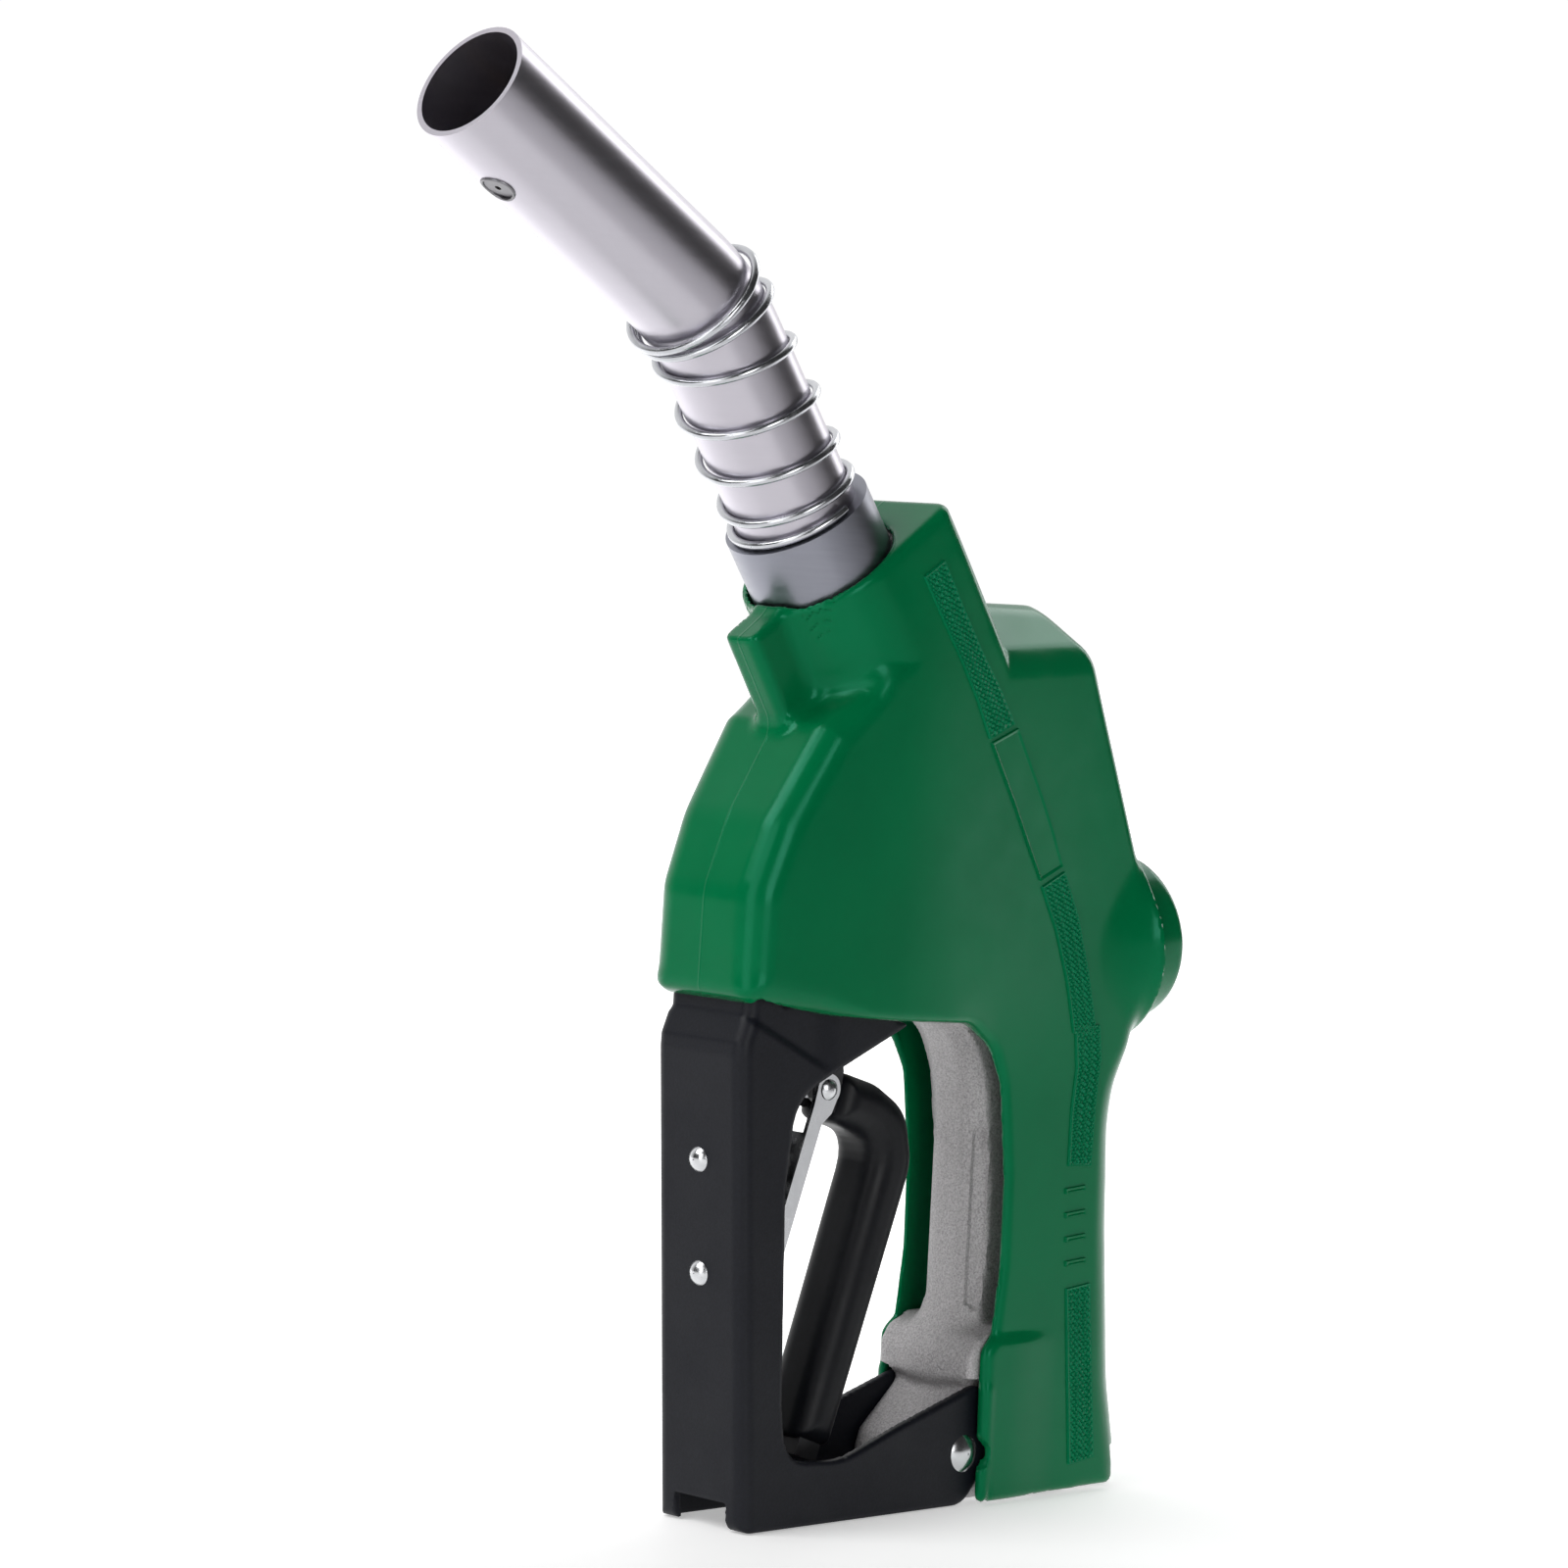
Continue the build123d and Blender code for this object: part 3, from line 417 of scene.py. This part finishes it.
def cover_outside(x, y, z):
    """Field of the cover's outer surface, with its inside filled."""
    ay = np.abs(y)
    t = (x - BEND[0]) * DOWN[0] + (z - BEND[1]) * DOWN[1]
    p = (x - BEND[0]) * BACK[0] + (z - BEND[1]) * BACK[1]
    wide = half_width(x, z)
    side = grid_or_points(COVER_SIDE, x, z)
    main = round_both(side, ay - wide, edge_radius(x, z))
    roof = (z + ROOF_SLOPE * np.maximum(ay - 1.5, 0) - ROOF_TOP) / ROOF_STEEP
    main = smooth_both(main, np.where(x > -75, roof, -50), 5.0)
    back = np.maximum(round_both(p - 33.2, ay - wide, 6.0), -60)
    front = np.sqrt(np.minimum(p, 0) ** 2 + ay ** 2) - wide
    neck = round_both(np.where(p > 0, back, front), np.maximum(RIM - t, t - 190), 2.6)
    front_blend = 7.0 * smoothstep(-p, 3, 15) * smoothstep(side, -7, -1)
    back_blend = 3.0 * smoothstep(p, 26, 33) * (1 - smoothstep(ay, 14, 20))
    body = smooth_union(main, neck, front_blend + back_blend)
    keel = round_both(grid_or_points(KEEL_SIDE, x, z), ay - KEEL_HALF, 3.0)
    keel = np.maximum(keel, RIM - t)
    body = smooth_union(body, keel, 5.0)
    q = (x - DOME_FACE[0]) * VALVE_DIR[0] + (z - DOME_FACE[1]) * VALVE_DIR[1]
    r = np.sqrt(((x - DOME_FACE[0]) * VALVE_SIDE[0] + (z - DOME_FACE[1]) * VALVE_SIDE[1]) ** 2 + ay ** 2)
    cone = (r - FLARE_R + FLARE_SLOPE * (q - FLARE_FROM)) / FLARE_STEEP
    flare = round_both(np.maximum(FLARE_FROM - q, q - FLARE_TO), cone, 1.4)
    body = smooth_union(body, flare, 7.0)
    dome = round_both(-q, r - DOME_R - 0.03 * q, 3.5)
    dome = np.maximum(dome, q - 16)
    body = smooth_union(body, dome, 0.8)
    bead = np.sqrt((x + 32.6) ** 2 + (ay - 20.4) ** 2 + np.maximum(z - 34, 0) ** 2) - 1.9
    return smooth_union(body, bead, 1.0)


def cover_field(x, y, z):
    ay = np.abs(y)
    outside = cover_outside(x, y, z)
    shell = np.maximum(round_both(outside, 0.8 - z, 2.6), -(outside + COVER_WALL))
    gap = np.maximum(grid_or_points(GAP_SIDE, x, z), ay - 18.7)
    t = (x - BEND[0]) * DOWN[0] + (z - BEND[1]) * DOWN[1]
    p = (x - BEND[0]) * BACK[0] + (z - BEND[1]) * BACK[1]
    rim = np.maximum(np.sqrt(p ** 2 + ay ** 2) - RIM_BORE, t - 96)
    scallop = np.sqrt((x - GUARD_PIN_AT[0]) ** 2 + (z - GUARD_PIN_AT[1]) ** 2) - 5.9
    shell = smooth_both(shell, -gap, 1.2)
    shell = smooth_both(shell, -rim, 2.0)
    return np.maximum(shell, -np.maximum(scallop, -y - 30))


def grid_or_points(points, x, z):
    """Outline distance, worked out once per column of a regular grid."""
    if x.ndim == 3:
        flat = outline_field(points, x[:, 0, :], z[:, 0, :])
        return flat[:, None, :]
    return outline_field(points, x, z)


def add_part(name, field, low, high, cell, slot, stands_for, body="body", sharp=45):
    """Meshes a field in place of a CAD node."""
    verts, faces = surface_net(field, low, high, cell)
    verts = snap(field, verts, rounds=2)
    obj = make_mesh(name, verts, faces, materials[slot], body=body, sharp=sharp)
    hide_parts(stands_for)
    return obj


add_part("cover_shell", cover_field, (-141, -32, -1), (44, 32, 292), 1.0,
         "cover_green", "hand_cover", sharp=50)


# ------------------------------------------------------------------ casting
NOSE_SIDE = rounded_outline([
    (-8, 30, 0), (-8, 150, 0), (-30, 152, 0), (-64, 149, 0), (-62, 142.8, 2), (-46, 141.4, 8),
    (-40.5, 137, 10), (-36.6, 130, 12), (-33.6, 120, 16), (-32, 109, 20), (-31.8, 58, 8),
    (-35, 50.5, 6), (-37.9, 44.5, 5), (-38, 36, 4), (-33, 30, 0)])
FOOT_SIDE = rounded_outline([
    (24, -9, 0), (20, 52, 0), (-27, 51.5, 4), (-35, 48.5, 6), (-38.2, 43.5, 5), (-38, 36, 3),
    (-33, 33, 2), (-32.8, -9, 0)])
LUG_SIDE = rounded_outline([
    (-28, 40, 0), (-37, 30.5, 5), (-49.5, 19, 5), (-51.5, 13, 3), (-49, 6.5, 3), (-28, 4, 0)])
PLUNGER_AT = np.array([-22.0, 238.0])
PLUNGER_DIR = np.array([-0.70234, -0.71184])
INLET_FROM, INLET_DIR = (0, 18), (-0.048, 0.999)
UNDER_COVER = 3.0
NOSE_HALF, FOOT_HALF, LUG_HALF = 11.4, 18.75, 14.3
CHEEK_INNER = 14.5
THREAD_R, THREAD_DEPTH, THREAD_PITCH = 16.75, 0.55, 2.2
PIN_HOLE_R, TOP_PIN_HOLE_R = 3.24, 2.44


def casting_field(x, y, z):
    ay = np.abs(y)
    body = cover_outside(x, y, z) + UNDER_COVER
    beside = np.maximum(11.0 - ay, x + 17 - 6 * smoothstep(ay, 11, 18))
    body = np.maximum(body, -np.maximum(beside, np.maximum(z - 139, 51 - z)))
    grip = round_both(grid_or_points(NOSE_SIDE, x, z), ay - NOSE_HALF, 8.5)
    foot = round_both(grid_or_points(FOOT_SIDE, x, z), ay - FOOT_HALF, 2.5)
    grip = smooth_union(grip, foot, 4.0)
    pocket_z = np.maximum(55 - z, z - 110)
    pocket = round_both(pocket_z, np.maximum(-29.6 - x, x + 17.5), 3.0)
    pocket = np.maximum(np.maximum(pocket, -(grip + 1.5)), 5.0 - ay)
    grip = smooth_both(grip, -pocket, 0.8)
    lug = round_both(grid_or_points(LUG_SIDE, x, z), ay - LUG_HALF, 1.6)
    solid = smooth_union(body, grip, 1.5)
    arm_seat = np.maximum(CHEEK_INNER - ay, np.maximum(x + 26.5, z - 36.5))
    solid = np.maximum(solid, -arm_seat)
    solid = smooth_union(solid, lug, 2.5)
    for back_x, top_z in ((75, 147.8), (104, 158)):
        cheek_seat = np.maximum(CHEEK_INNER - ay, np.maximum(x + back_x, z - top_z))
        solid = np.maximum(solid, -cheek_seat)
    front_seat = np.maximum(x + 127, z - 157)
    solid = np.maximum(solid, -front_seat)
    q, r = along(x, ay, z, DOME_FACE, VALVE_DIR)
    holes = [np.maximum(r - 22.6, q - 10), np.maximum(r - 19.02, q - 64), np.maximum(r - 14, q - 80),
             np.maximum(r - 3.6, q - 101), np.maximum(r - 6, np.maximum(100 - q, q - 125))]
    t, r = along(x, ay, z, BEND, DOWN)
    holes += [np.maximum(r - 15, t - 172), np.maximum(r - 21.35, t - 112)]
    s, r = along(x, ay, z, PLUNGER_AT, PLUNGER_DIR)
    for bore, depth in ((16.4, 0), (9.02, 17), (7.3, 36), (5.1, 120)):
        holes.append(np.maximum(r - bore, s - depth))
    lever_slot = np.maximum(np.maximum(ay - 9, z - 179), np.maximum(-122 - x, x + 70))
    s, r = along(x, ay, z, INLET_FROM, INLET_DIR)
    holes += [lever_slot, np.maximum(r - 11, np.maximum(-s, s - 125))]
    thread = THREAD_R + THREAD_DEPTH * np.sin(2 * math.pi * (z / THREAD_PITCH) + np.arctan2(y, x))
    holes.append(np.maximum(np.sqrt(x * x + y * y) - thread, z - 20))
    for (px, pz), bore in ((GUARD_PIN_AT, PIN_HOLE_R), (TOP_PIN_AT, TOP_PIN_HOLE_R)):
        holes.append(np.sqrt((x - px) ** 2 + (z - pz) ** 2) - bore)
    solid = round_both(solid, -z, 5.0)
    for hole in holes:
        solid = np.maximum(solid, -hole)
    return solid


add_part("casting_body", casting_field, (-137, -28, -1), (40, 28, 286), 1.1,
         "cast_aluminium", "body_casting", sharp=40)


# ------------------------------------------------------------------ guard
GUARD_SIDE = rounded_outline([
    (-126.6, 0, 4), (-137.0, 134, 0), (-136.9, 138, 3), (-133.9, 145.5, 2), (-133.2, 154.8, 1),
    (-108, 154.8, 3), (-104, 147.6, 1), (-76.2, 147.4, 0.6), (-76, 142.6, 0.5), (-69.3, 141.4, 1.0),
    (-97.5, 129.3, 16), (-114.2, 121.5, 22), (-116.6, 96, 40), (-113.6, 36, 30), (-111.0, 19.0, 20),
    (-88, 17.5, 30), (-66, 25.0, 40), (-31.6, 35.3, 4), (-27.6, 24, 14), (-27.4, 11, 8), (-36.5, 0, 10)])
GUARD_FRONT = np.array([
    (-125.8, -10), (-137.0, 134), (-136.9, 138), (-133.9, 145.5), (-133.2, 180), (50, 180), (50, -10)], float)
GUARD_HALF, GUARD_WALL = 17.5, 2.8


def guard_field(x, y, z):
    ay = np.abs(y)
    side = grid_or_points(GUARD_SIDE, x, z)
    front = grid_or_points(GUARD_FRONT, x, z)
    above = ((x + 129.2) * 11.8 + (z - 141.6) * 24.5) / 27.2
    wide = GUARD_HALF - 0.9 * smoothstep(above, -0.6, 2.2) * (1 - smoothstep(x, -108, -98))
    solid = np.maximum(round_both(side, ay - wide, 0.9), round_both(front, ay - wide, 4.2))
    inner = round_both(front + GUARD_WALL, ay - (GUARD_HALF - GUARD_WALL), 1.4)
    for cut in (z - 7.9, 10.4 - z, -53 - x):
        solid = np.maximum(solid, -np.maximum(inner, cut))
    notch = np.maximum(np.maximum(ay - 10.2, z - 7.9), x + 118)
    solid = np.maximum(solid, -notch)
    for (px, pz), bore in ((GUARD_PIN_AT, 3.25), (TOP_PIN_AT, 2.45)):
        solid = np.maximum(solid, bore - np.sqrt((x - px) ** 2 + (z - pz) ** 2))
    return solid


add_part("guard_shell", guard_field, (-139, -19, -1), (-26, 19, 156), 0.75,
         "guard_black", "guard")


# ------------------------------------------------------------------ lever sleeve
SLEEVE_SIDE = rounded_outline([
    (-84.8, 127.2, 4), (-70, 122.8, 16), (-58.2, 115.5, 14), (-54.6, 99.5, 18), (-83.4, 18.5, 3),
    (-97.6, 23.5, 3), (-70.0, 106.9, 14), (-89.15, 112.8, 3)])
SLEEVE_HALF = 10.0


def sleeve_field(x, y, z):
    return round_both(grid_or_points(SLEEVE_SIDE, x, z), np.abs(y) - SLEEVE_HALF, 6.8)


add_part("sleeve_shell", sleeve_field, (-99, -11, 17), (-48, 11, 129), 0.8,
         "sleeve_black", "lever_sleeve", body="lever")


# ------------------------------------------------------------------ wire spring
def tube(points, radius, sides=14):
    """Round wire along points (mm): vertices, quads, and triangles that close both ends."""
    points = np.asarray(points, float)
    tangent = np.gradient(points, axis=0)
    tangent /= np.linalg.norm(tangent, axis=1)[:, None]
    normal = np.cross(tangent[0], (0.3, 1, 0.2))
    normal /= np.linalg.norm(normal)
    verts = []
    angles = np.linspace(0, 2 * math.pi, sides, endpoint=False)
    for point, ahead in zip(points, tangent):
        normal = normal - ahead * (normal @ ahead)
        normal /= np.linalg.norm(normal)
        other = np.cross(ahead, normal)
        verts.append(point + radius * (np.cos(angles)[:, None] * normal + np.sin(angles)[:, None] * other))
    verts = np.concatenate(verts)
    rows = np.arange(len(points) - 1)[:, None] * sides
    j = np.arange(sides)
    k = (j + 1) % sides
    faces = np.stack([rows + j, rows + k, rows + sides + k, rows + sides + j], axis=-1).reshape(-1, 4)
    caps = len(verts)
    verts = np.concatenate([verts, [points[0]], [points[-1]]])
    last = (len(points) - 1) * sides
    start = np.stack([np.full(sides, caps), k, j, np.full(sides, caps)], axis=1)
    end = np.stack([np.full(sides, caps + 1), last + j, last + k, np.full(sides, caps + 1)], axis=1)
    return verts, faces, np.concatenate([start, end])[:, :3]


def add_tube(name, points, radius, material):
    verts, quads, fans = tube(points, radius)
    mesh = bpy.data.meshes.new(name)
    mesh.from_pydata((verts * MM).tolist(), [], quads.tolist() + fans.tolist())
    mesh.update()
    mesh.polygons.foreach_set("use_smooth", np.ones(len(mesh.polygons), bool))
    mesh.set_sharp_from_angle(angle=math.radians(50))
    mesh.materials.append(material)
    obj = bpy.data.objects.new(name, mesh)
    bpy.context.scene.collection.objects.link(obj)
    bpy.context.view_layer.update()
    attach(obj, "body")
    return obj


BEND_R = 60.0
BEND_T = BEND_R * math.tan(math.radians((TIP_LEAN - BASE_LEAN) / 2))


def spout_frame(t):
    """Point on the spout's axis at distance t below the bend point, and its back direction."""
    if t >= BEND_T:
        return BEND + DOWN * t, BACK
    arc = (BEND_T - t) / BEND_R
    centre = BEND + DOWN * BEND_T - BACK * BEND_R
    back = np.array([BACK[0] * math.cos(arc) - BACK[1] * math.sin(arc),
                     BACK[0] * math.sin(arc) + BACK[1] * math.cos(arc)])
    return centre + back * BEND_R, back


COIL_TURNS = [0.0, 1.0, 2.0, 3.0, 4.0, 5.0, 6.0, 6.4]
COIL_T = [-5.5, -2.2, 10.0, 27.6, 43.0, 58.2, 66.2, 66.7]
COIL_R, WIRE_R = 18.95, 1.2
COIL_PHASE = 0.36
coil = []
for turn in np.linspace(-0.25, COIL_TURNS[-1], 560):
    angle = 2 * math.pi * (turn + COIL_PHASE)
    centre, back = spout_frame(np.interp(turn, COIL_TURNS, COIL_T))
    radius = COIL_R + 0.25 * math.sin(turn * 2.1) + 0.9 * math.exp(-max(turn, 0) / 0.7)
    coil.append((centre[0] + back[0] * radius * math.cos(angle), radius * math.sin(angle),
                 centre[1] + back[1] * radius * math.cos(angle)))
spring = add_tube("spout_coil", coil, WIRE_R, materials["spring_wire"])
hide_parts("spout_spring")


# ------------------------------------------------------------------ rim of the vacuum port
PORT_AT = BEND + UP_TIP * (104.5 - 24.0)
PORT_OUT = np.array([-UP_TIP[1], UP_TIP[0]])
PORT_R, PORT_WIRE_R = 4.7, 0.45
SPOUT_R = 17.6
port_rim = []
for turn in np.linspace(0, 2 * math.pi, 49):
    across = PORT_R * math.sin(turn)
    lift = math.sqrt(SPOUT_R ** 2 - across ** 2)
    x, z = PORT_AT + UP_TIP * PORT_R * math.cos(turn) + PORT_OUT * lift
    port_rim.append((x, across, z))
rim = add_tube("port_rim", port_rim, PORT_WIRE_R, materials["port_metal"])


# ------------------------------------------------------------------ grip strips on the cover
def flank_y(x, z):
    """Half width of the cover's surface at (x, z)."""
    low = np.full(x.shape, 6.0)
    high = np.full(x.shape, 34.0)
    for _ in range(22):
        mid = (low + high) / 2
        inside = cover_outside(x, mid, z) < 0
        low = np.where(inside, mid, low)
        high = np.where(inside, high, mid)
    return (low + high) / 2


STRIP_PITCH, STRIP_STEP = 2.1, 0.42
DIAMOND_SLOPE = 1.15


def strip(name, left, right, height, side):
    """Raised band between two edge lines on the flank, with a diamond pattern if height > 0."""
    left, right = np.array(left, float), np.array(right, float)
    run = np.concatenate([[0], np.cumsum(np.linalg.norm(np.diff((left + right) / 2, axis=0), axis=1))])
    across = np.linalg.norm(left - right, axis=1).mean()
    rows, cols = int(run[-1] / STRIP_STEP) + 2, int(across / STRIP_STEP) + 2
    u = np.linspace(0, run[-1], rows)
    v = np.linspace(0, 1, cols)
    lx, lz = np.interp(u, run, left[:, 0]), np.interp(u, run, left[:, 1])
    rx, rz = np.interp(u, run, right[:, 0]), np.interp(u, run, right[:, 1])
    x = lx[:, None] * (1 - v) + rx[:, None] * v
    z = lz[:, None] * (1 - v) + rz[:, None] * v
    y = flank_y(x.ravel(), z.ravel()).reshape(x.shape)
    uu, vv = np.meshgrid(u, v * across, indexing="ij")
    rising = np.abs(((uu + vv * DIAMOND_SLOPE) / STRIP_PITCH) % 1 - 0.5)
    falling = np.abs(((uu - vv * DIAMOND_SLOPE) / STRIP_PITCH) % 1 - 0.5)
    diamond = np.clip(np.minimum(rising, falling) * 5, 0, 1)
    edge = np.minimum(np.minimum(uu, run[-1] - uu), np.minimum(vv, across - vv))
    frame_band = np.clip(1.25 - edge, 0, 0.5)
    lift = 0.32 + height * np.maximum(diamond - 0.3, 0) * (edge > 1.0) + frame_band * 0.7
    rim = np.zeros_like(edge, bool)
    rim[0, :] = rim[-1, :] = rim[:, 0] = rim[:, -1] = True
    lift = np.where(rim, -0.5, lift)
    verts = np.stack([x, side * (y + lift), z], axis=-1).reshape(-1, 3)
    i = np.arange(rows - 1)[:, None] * cols
    j = np.arange(cols - 1)[None, :]
    quads = np.stack([i + j, i + cols + j, i + cols + j + 1, i + j + 1], axis=-1).reshape(-1, 4)
    if side > 0:
        quads = quads[:, ::-1]
    obj = make_mesh(name, verts, quads, strip_green if height else materials["cover_green"], sharp=30)


UPPER_LEFT = [(-83.7, 268.9), (-74.2, 255.8), (-65.6, 244.7), (-58.1, 234.0), (-51.6, 222.9)]
UPPER_RIGHT = [(-75.4, 274.1), (-66.2, 260.8), (-56.5, 247.9), (-48.0, 238.3), (-39.9, 227.6)]
LINK_LEFT = [(-51.0, 222.3), (-38.2, 203.2), (-31.2, 192.1), (-24.5, 181.9)]
LINK_RIGHT = [(-38.6, 226.9), (-25.2, 206.5), (-18.9, 195.6), (-14.2, 186.2)]
LOWER_LEFT = [(-24.0, 180.6), (-15.9, 167.0), (-9.6, 152.0), (-4.9, 137.0), (-4.4, 139.7), (-2.3, 126.3),
              (-3.4, 114.0), (-3.4, 97.5)]
LOWER_RIGHT = [(-13.3, 185.2), (-5.8, 171.4), (0.3, 154.6), (5.6, 136.7), (6.9, 139.3), (8.6, 129.7),
               (7.6, 117.4), (6.8, 97.0)]
FOOT_LEFT = [(-1.4, 61.7), (1.2, 35), (4, 8.4)]
FOOT_RIGHT = [(9.4, 62.9), (12.4, 36), (15.5, 9.9)]
MARK_TOP, MARK_PITCH = 91.5, 7.2
for side, label in ((-1, "near"), (1, "far")):
    strip("strip_upper_" + label, UPPER_LEFT, UPPER_RIGHT, 0.8, side)
    strip("strip_link_" + label, LINK_LEFT, LINK_RIGHT, 0.0, side)
    strip("strip_lower_" + label, LOWER_LEFT, LOWER_RIGHT, 0.8, side)
    strip("strip_foot_" + label, FOOT_LEFT, FOOT_RIGHT, 0.8, side)
    for n in range(4):
        top = MARK_TOP - MARK_PITCH * n
        shift = -4.2 + (MARK_TOP - top) * 0.085
        strip("mark_%d_%s" % (n, label), [(shift, top), (shift + 0.2, top - 2.2)],
              [(shift + 9.2, top + 0.7), (shift + 9.4, top - 1.5)], 0.0, side)


# ------------------------------------------------------------------ camera, light, floor
def add_light(name, where, size, power, size_y=None):
    """White panel aimed at the middle of the nozzle."""
    light = bpy.data.lights.new(name, "AREA")
    light.shape = "RECTANGLE"
    light.size = size
    light.size_y = size_y or size
    light.energy = power
    obj = bpy.data.objects.new(name, light)
    obj.location = where
    direction = Vector(LIGHT_TARGET) - Vector(where)
    obj.rotation_euler = direction.to_track_quat("-Z", "Y").to_euler()
    bpy.context.scene.collection.objects.link(obj)


def ramp_across(tree, coords, direction):
    """Distance along a direction, as a shader value."""
    dot = tree.nodes.new("ShaderNodeVectorMath")
    dot.operation = "DOT_PRODUCT"
    dot.inputs[1].default_value = direction
    tree.links.new(coords, dot.inputs[0])
    return dot.outputs["Value"]


LIGHT_TARGET = (-0.08, 0, 0.2)
FLOOR_HALF = 6
camera_data = bpy.data.cameras.new("camera")
camera_data.lens = 122.7
camera_data.sensor_width = 36.0
camera = bpy.data.objects.new("camera", camera_data)
right = Vector((0.70494, -0.70726, 0.05324))
up = Vector((-0.00087, 0.07420, 0.99724))
behind = right.cross(up).normalized()
up = behind.cross(right).normalized()
right = up.cross(behind).normalized()
camera.matrix_world = Matrix((
    (right.x, up.x, behind.x, -1.17425), (right.y, up.y, behind.y, -1.05630),
    (right.z, up.z, behind.z, 0.28627), (0, 0, 0, 1)))
bpy.context.scene.collection.objects.link(camera)
bpy.context.scene.camera = camera

floor_mesh = bpy.data.meshes.new("floor")
floor_mesh.from_pydata([(-FLOOR_HALF, -FLOOR_HALF, 0), (FLOOR_HALF, -FLOOR_HALF, 0),
                        (FLOOR_HALF, FLOOR_HALF, 0), (-FLOOR_HALF, FLOOR_HALF, 0)], [], [(0, 1, 2, 3)])
floor = bpy.data.objects.new("floor", floor_mesh)
floor.location.z = -0.0003
bpy.context.scene.collection.objects.link(floor)
floor_mat, floor_tree, floor_shader = new_material("floor_pale", (0.86, 0.86, 0.86), 0.6)
floor_rough = spread(floor_tree, noise(floor_tree, 8, 3), 0.55, 0.68)
floor_tree.links.new(floor_rough, floor_shader.inputs["Roughness"])
floor_at = floor_tree.nodes.new("ShaderNodeTexCoord").outputs["Object"]
floor_glow = spread(floor_tree, ramp_across(floor_tree, floor_at, (0.7, 0.7, 0)), 0.22, 1.0, -0.2, 0.4)
floor_tree.links.new(floor_glow, floor_shader.inputs["Emission Strength"])
# Painted shade: beyond about 0.3 m towards the camera's right the floor's colour turns grey, so the nozzle
# reflects a darker floor there
painted_floor_shade = ramp_across(floor_tree, floor_at, (0.601, -0.811, 0))
tint(floor_tree, painted_floor_shade, (0.88, 0.88, 0.88), (0.50, 0.50, 0.51), floor_shader, 0.25, 0.40)
floor_shader.inputs["Emission Color"].default_value = (1, 1, 1, 1)
floor_mesh.materials.append(floor_mat)

world = bpy.data.worlds.new("studio")
bpy.context.scene.world = world
world.use_nodes = True
sky = world.node_tree
sky_at = sky.nodes.new("ShaderNodeTexCoord").outputs["Generated"]
sky_glow = spread(sky, ramp_across(sky, sky_at, (0.42, 0.88, 0.22)), 0.04, 1.03, 0.35, 0.8)
sky.links.new(sky_glow, sky.nodes["Background"].inputs["Strength"])
sky.nodes["Background"].inputs["Color"].default_value = (1, 1, 1, 1)
add_light("key", (-1.6, 0.5, 1.9), 1.4, 31)
add_light("front_left", (-1.9, -0.5, 0.7), 0.9, 9, size_y=1.6)
add_light("near_fill", (-0.9, -2.2, 0.8), 0.9, 14.5, size_y=1.4)
add_light("roof_light", (1.36, 0.34, 1.6), 0.9, 4.5)
add_light("back_strip", (1.6, 0.1, 0.75), 0.5, 4, size_y=1.2)
view = bpy.context.scene.view_settings
view.view_transform = "Standard"
view.exposure = 0.0
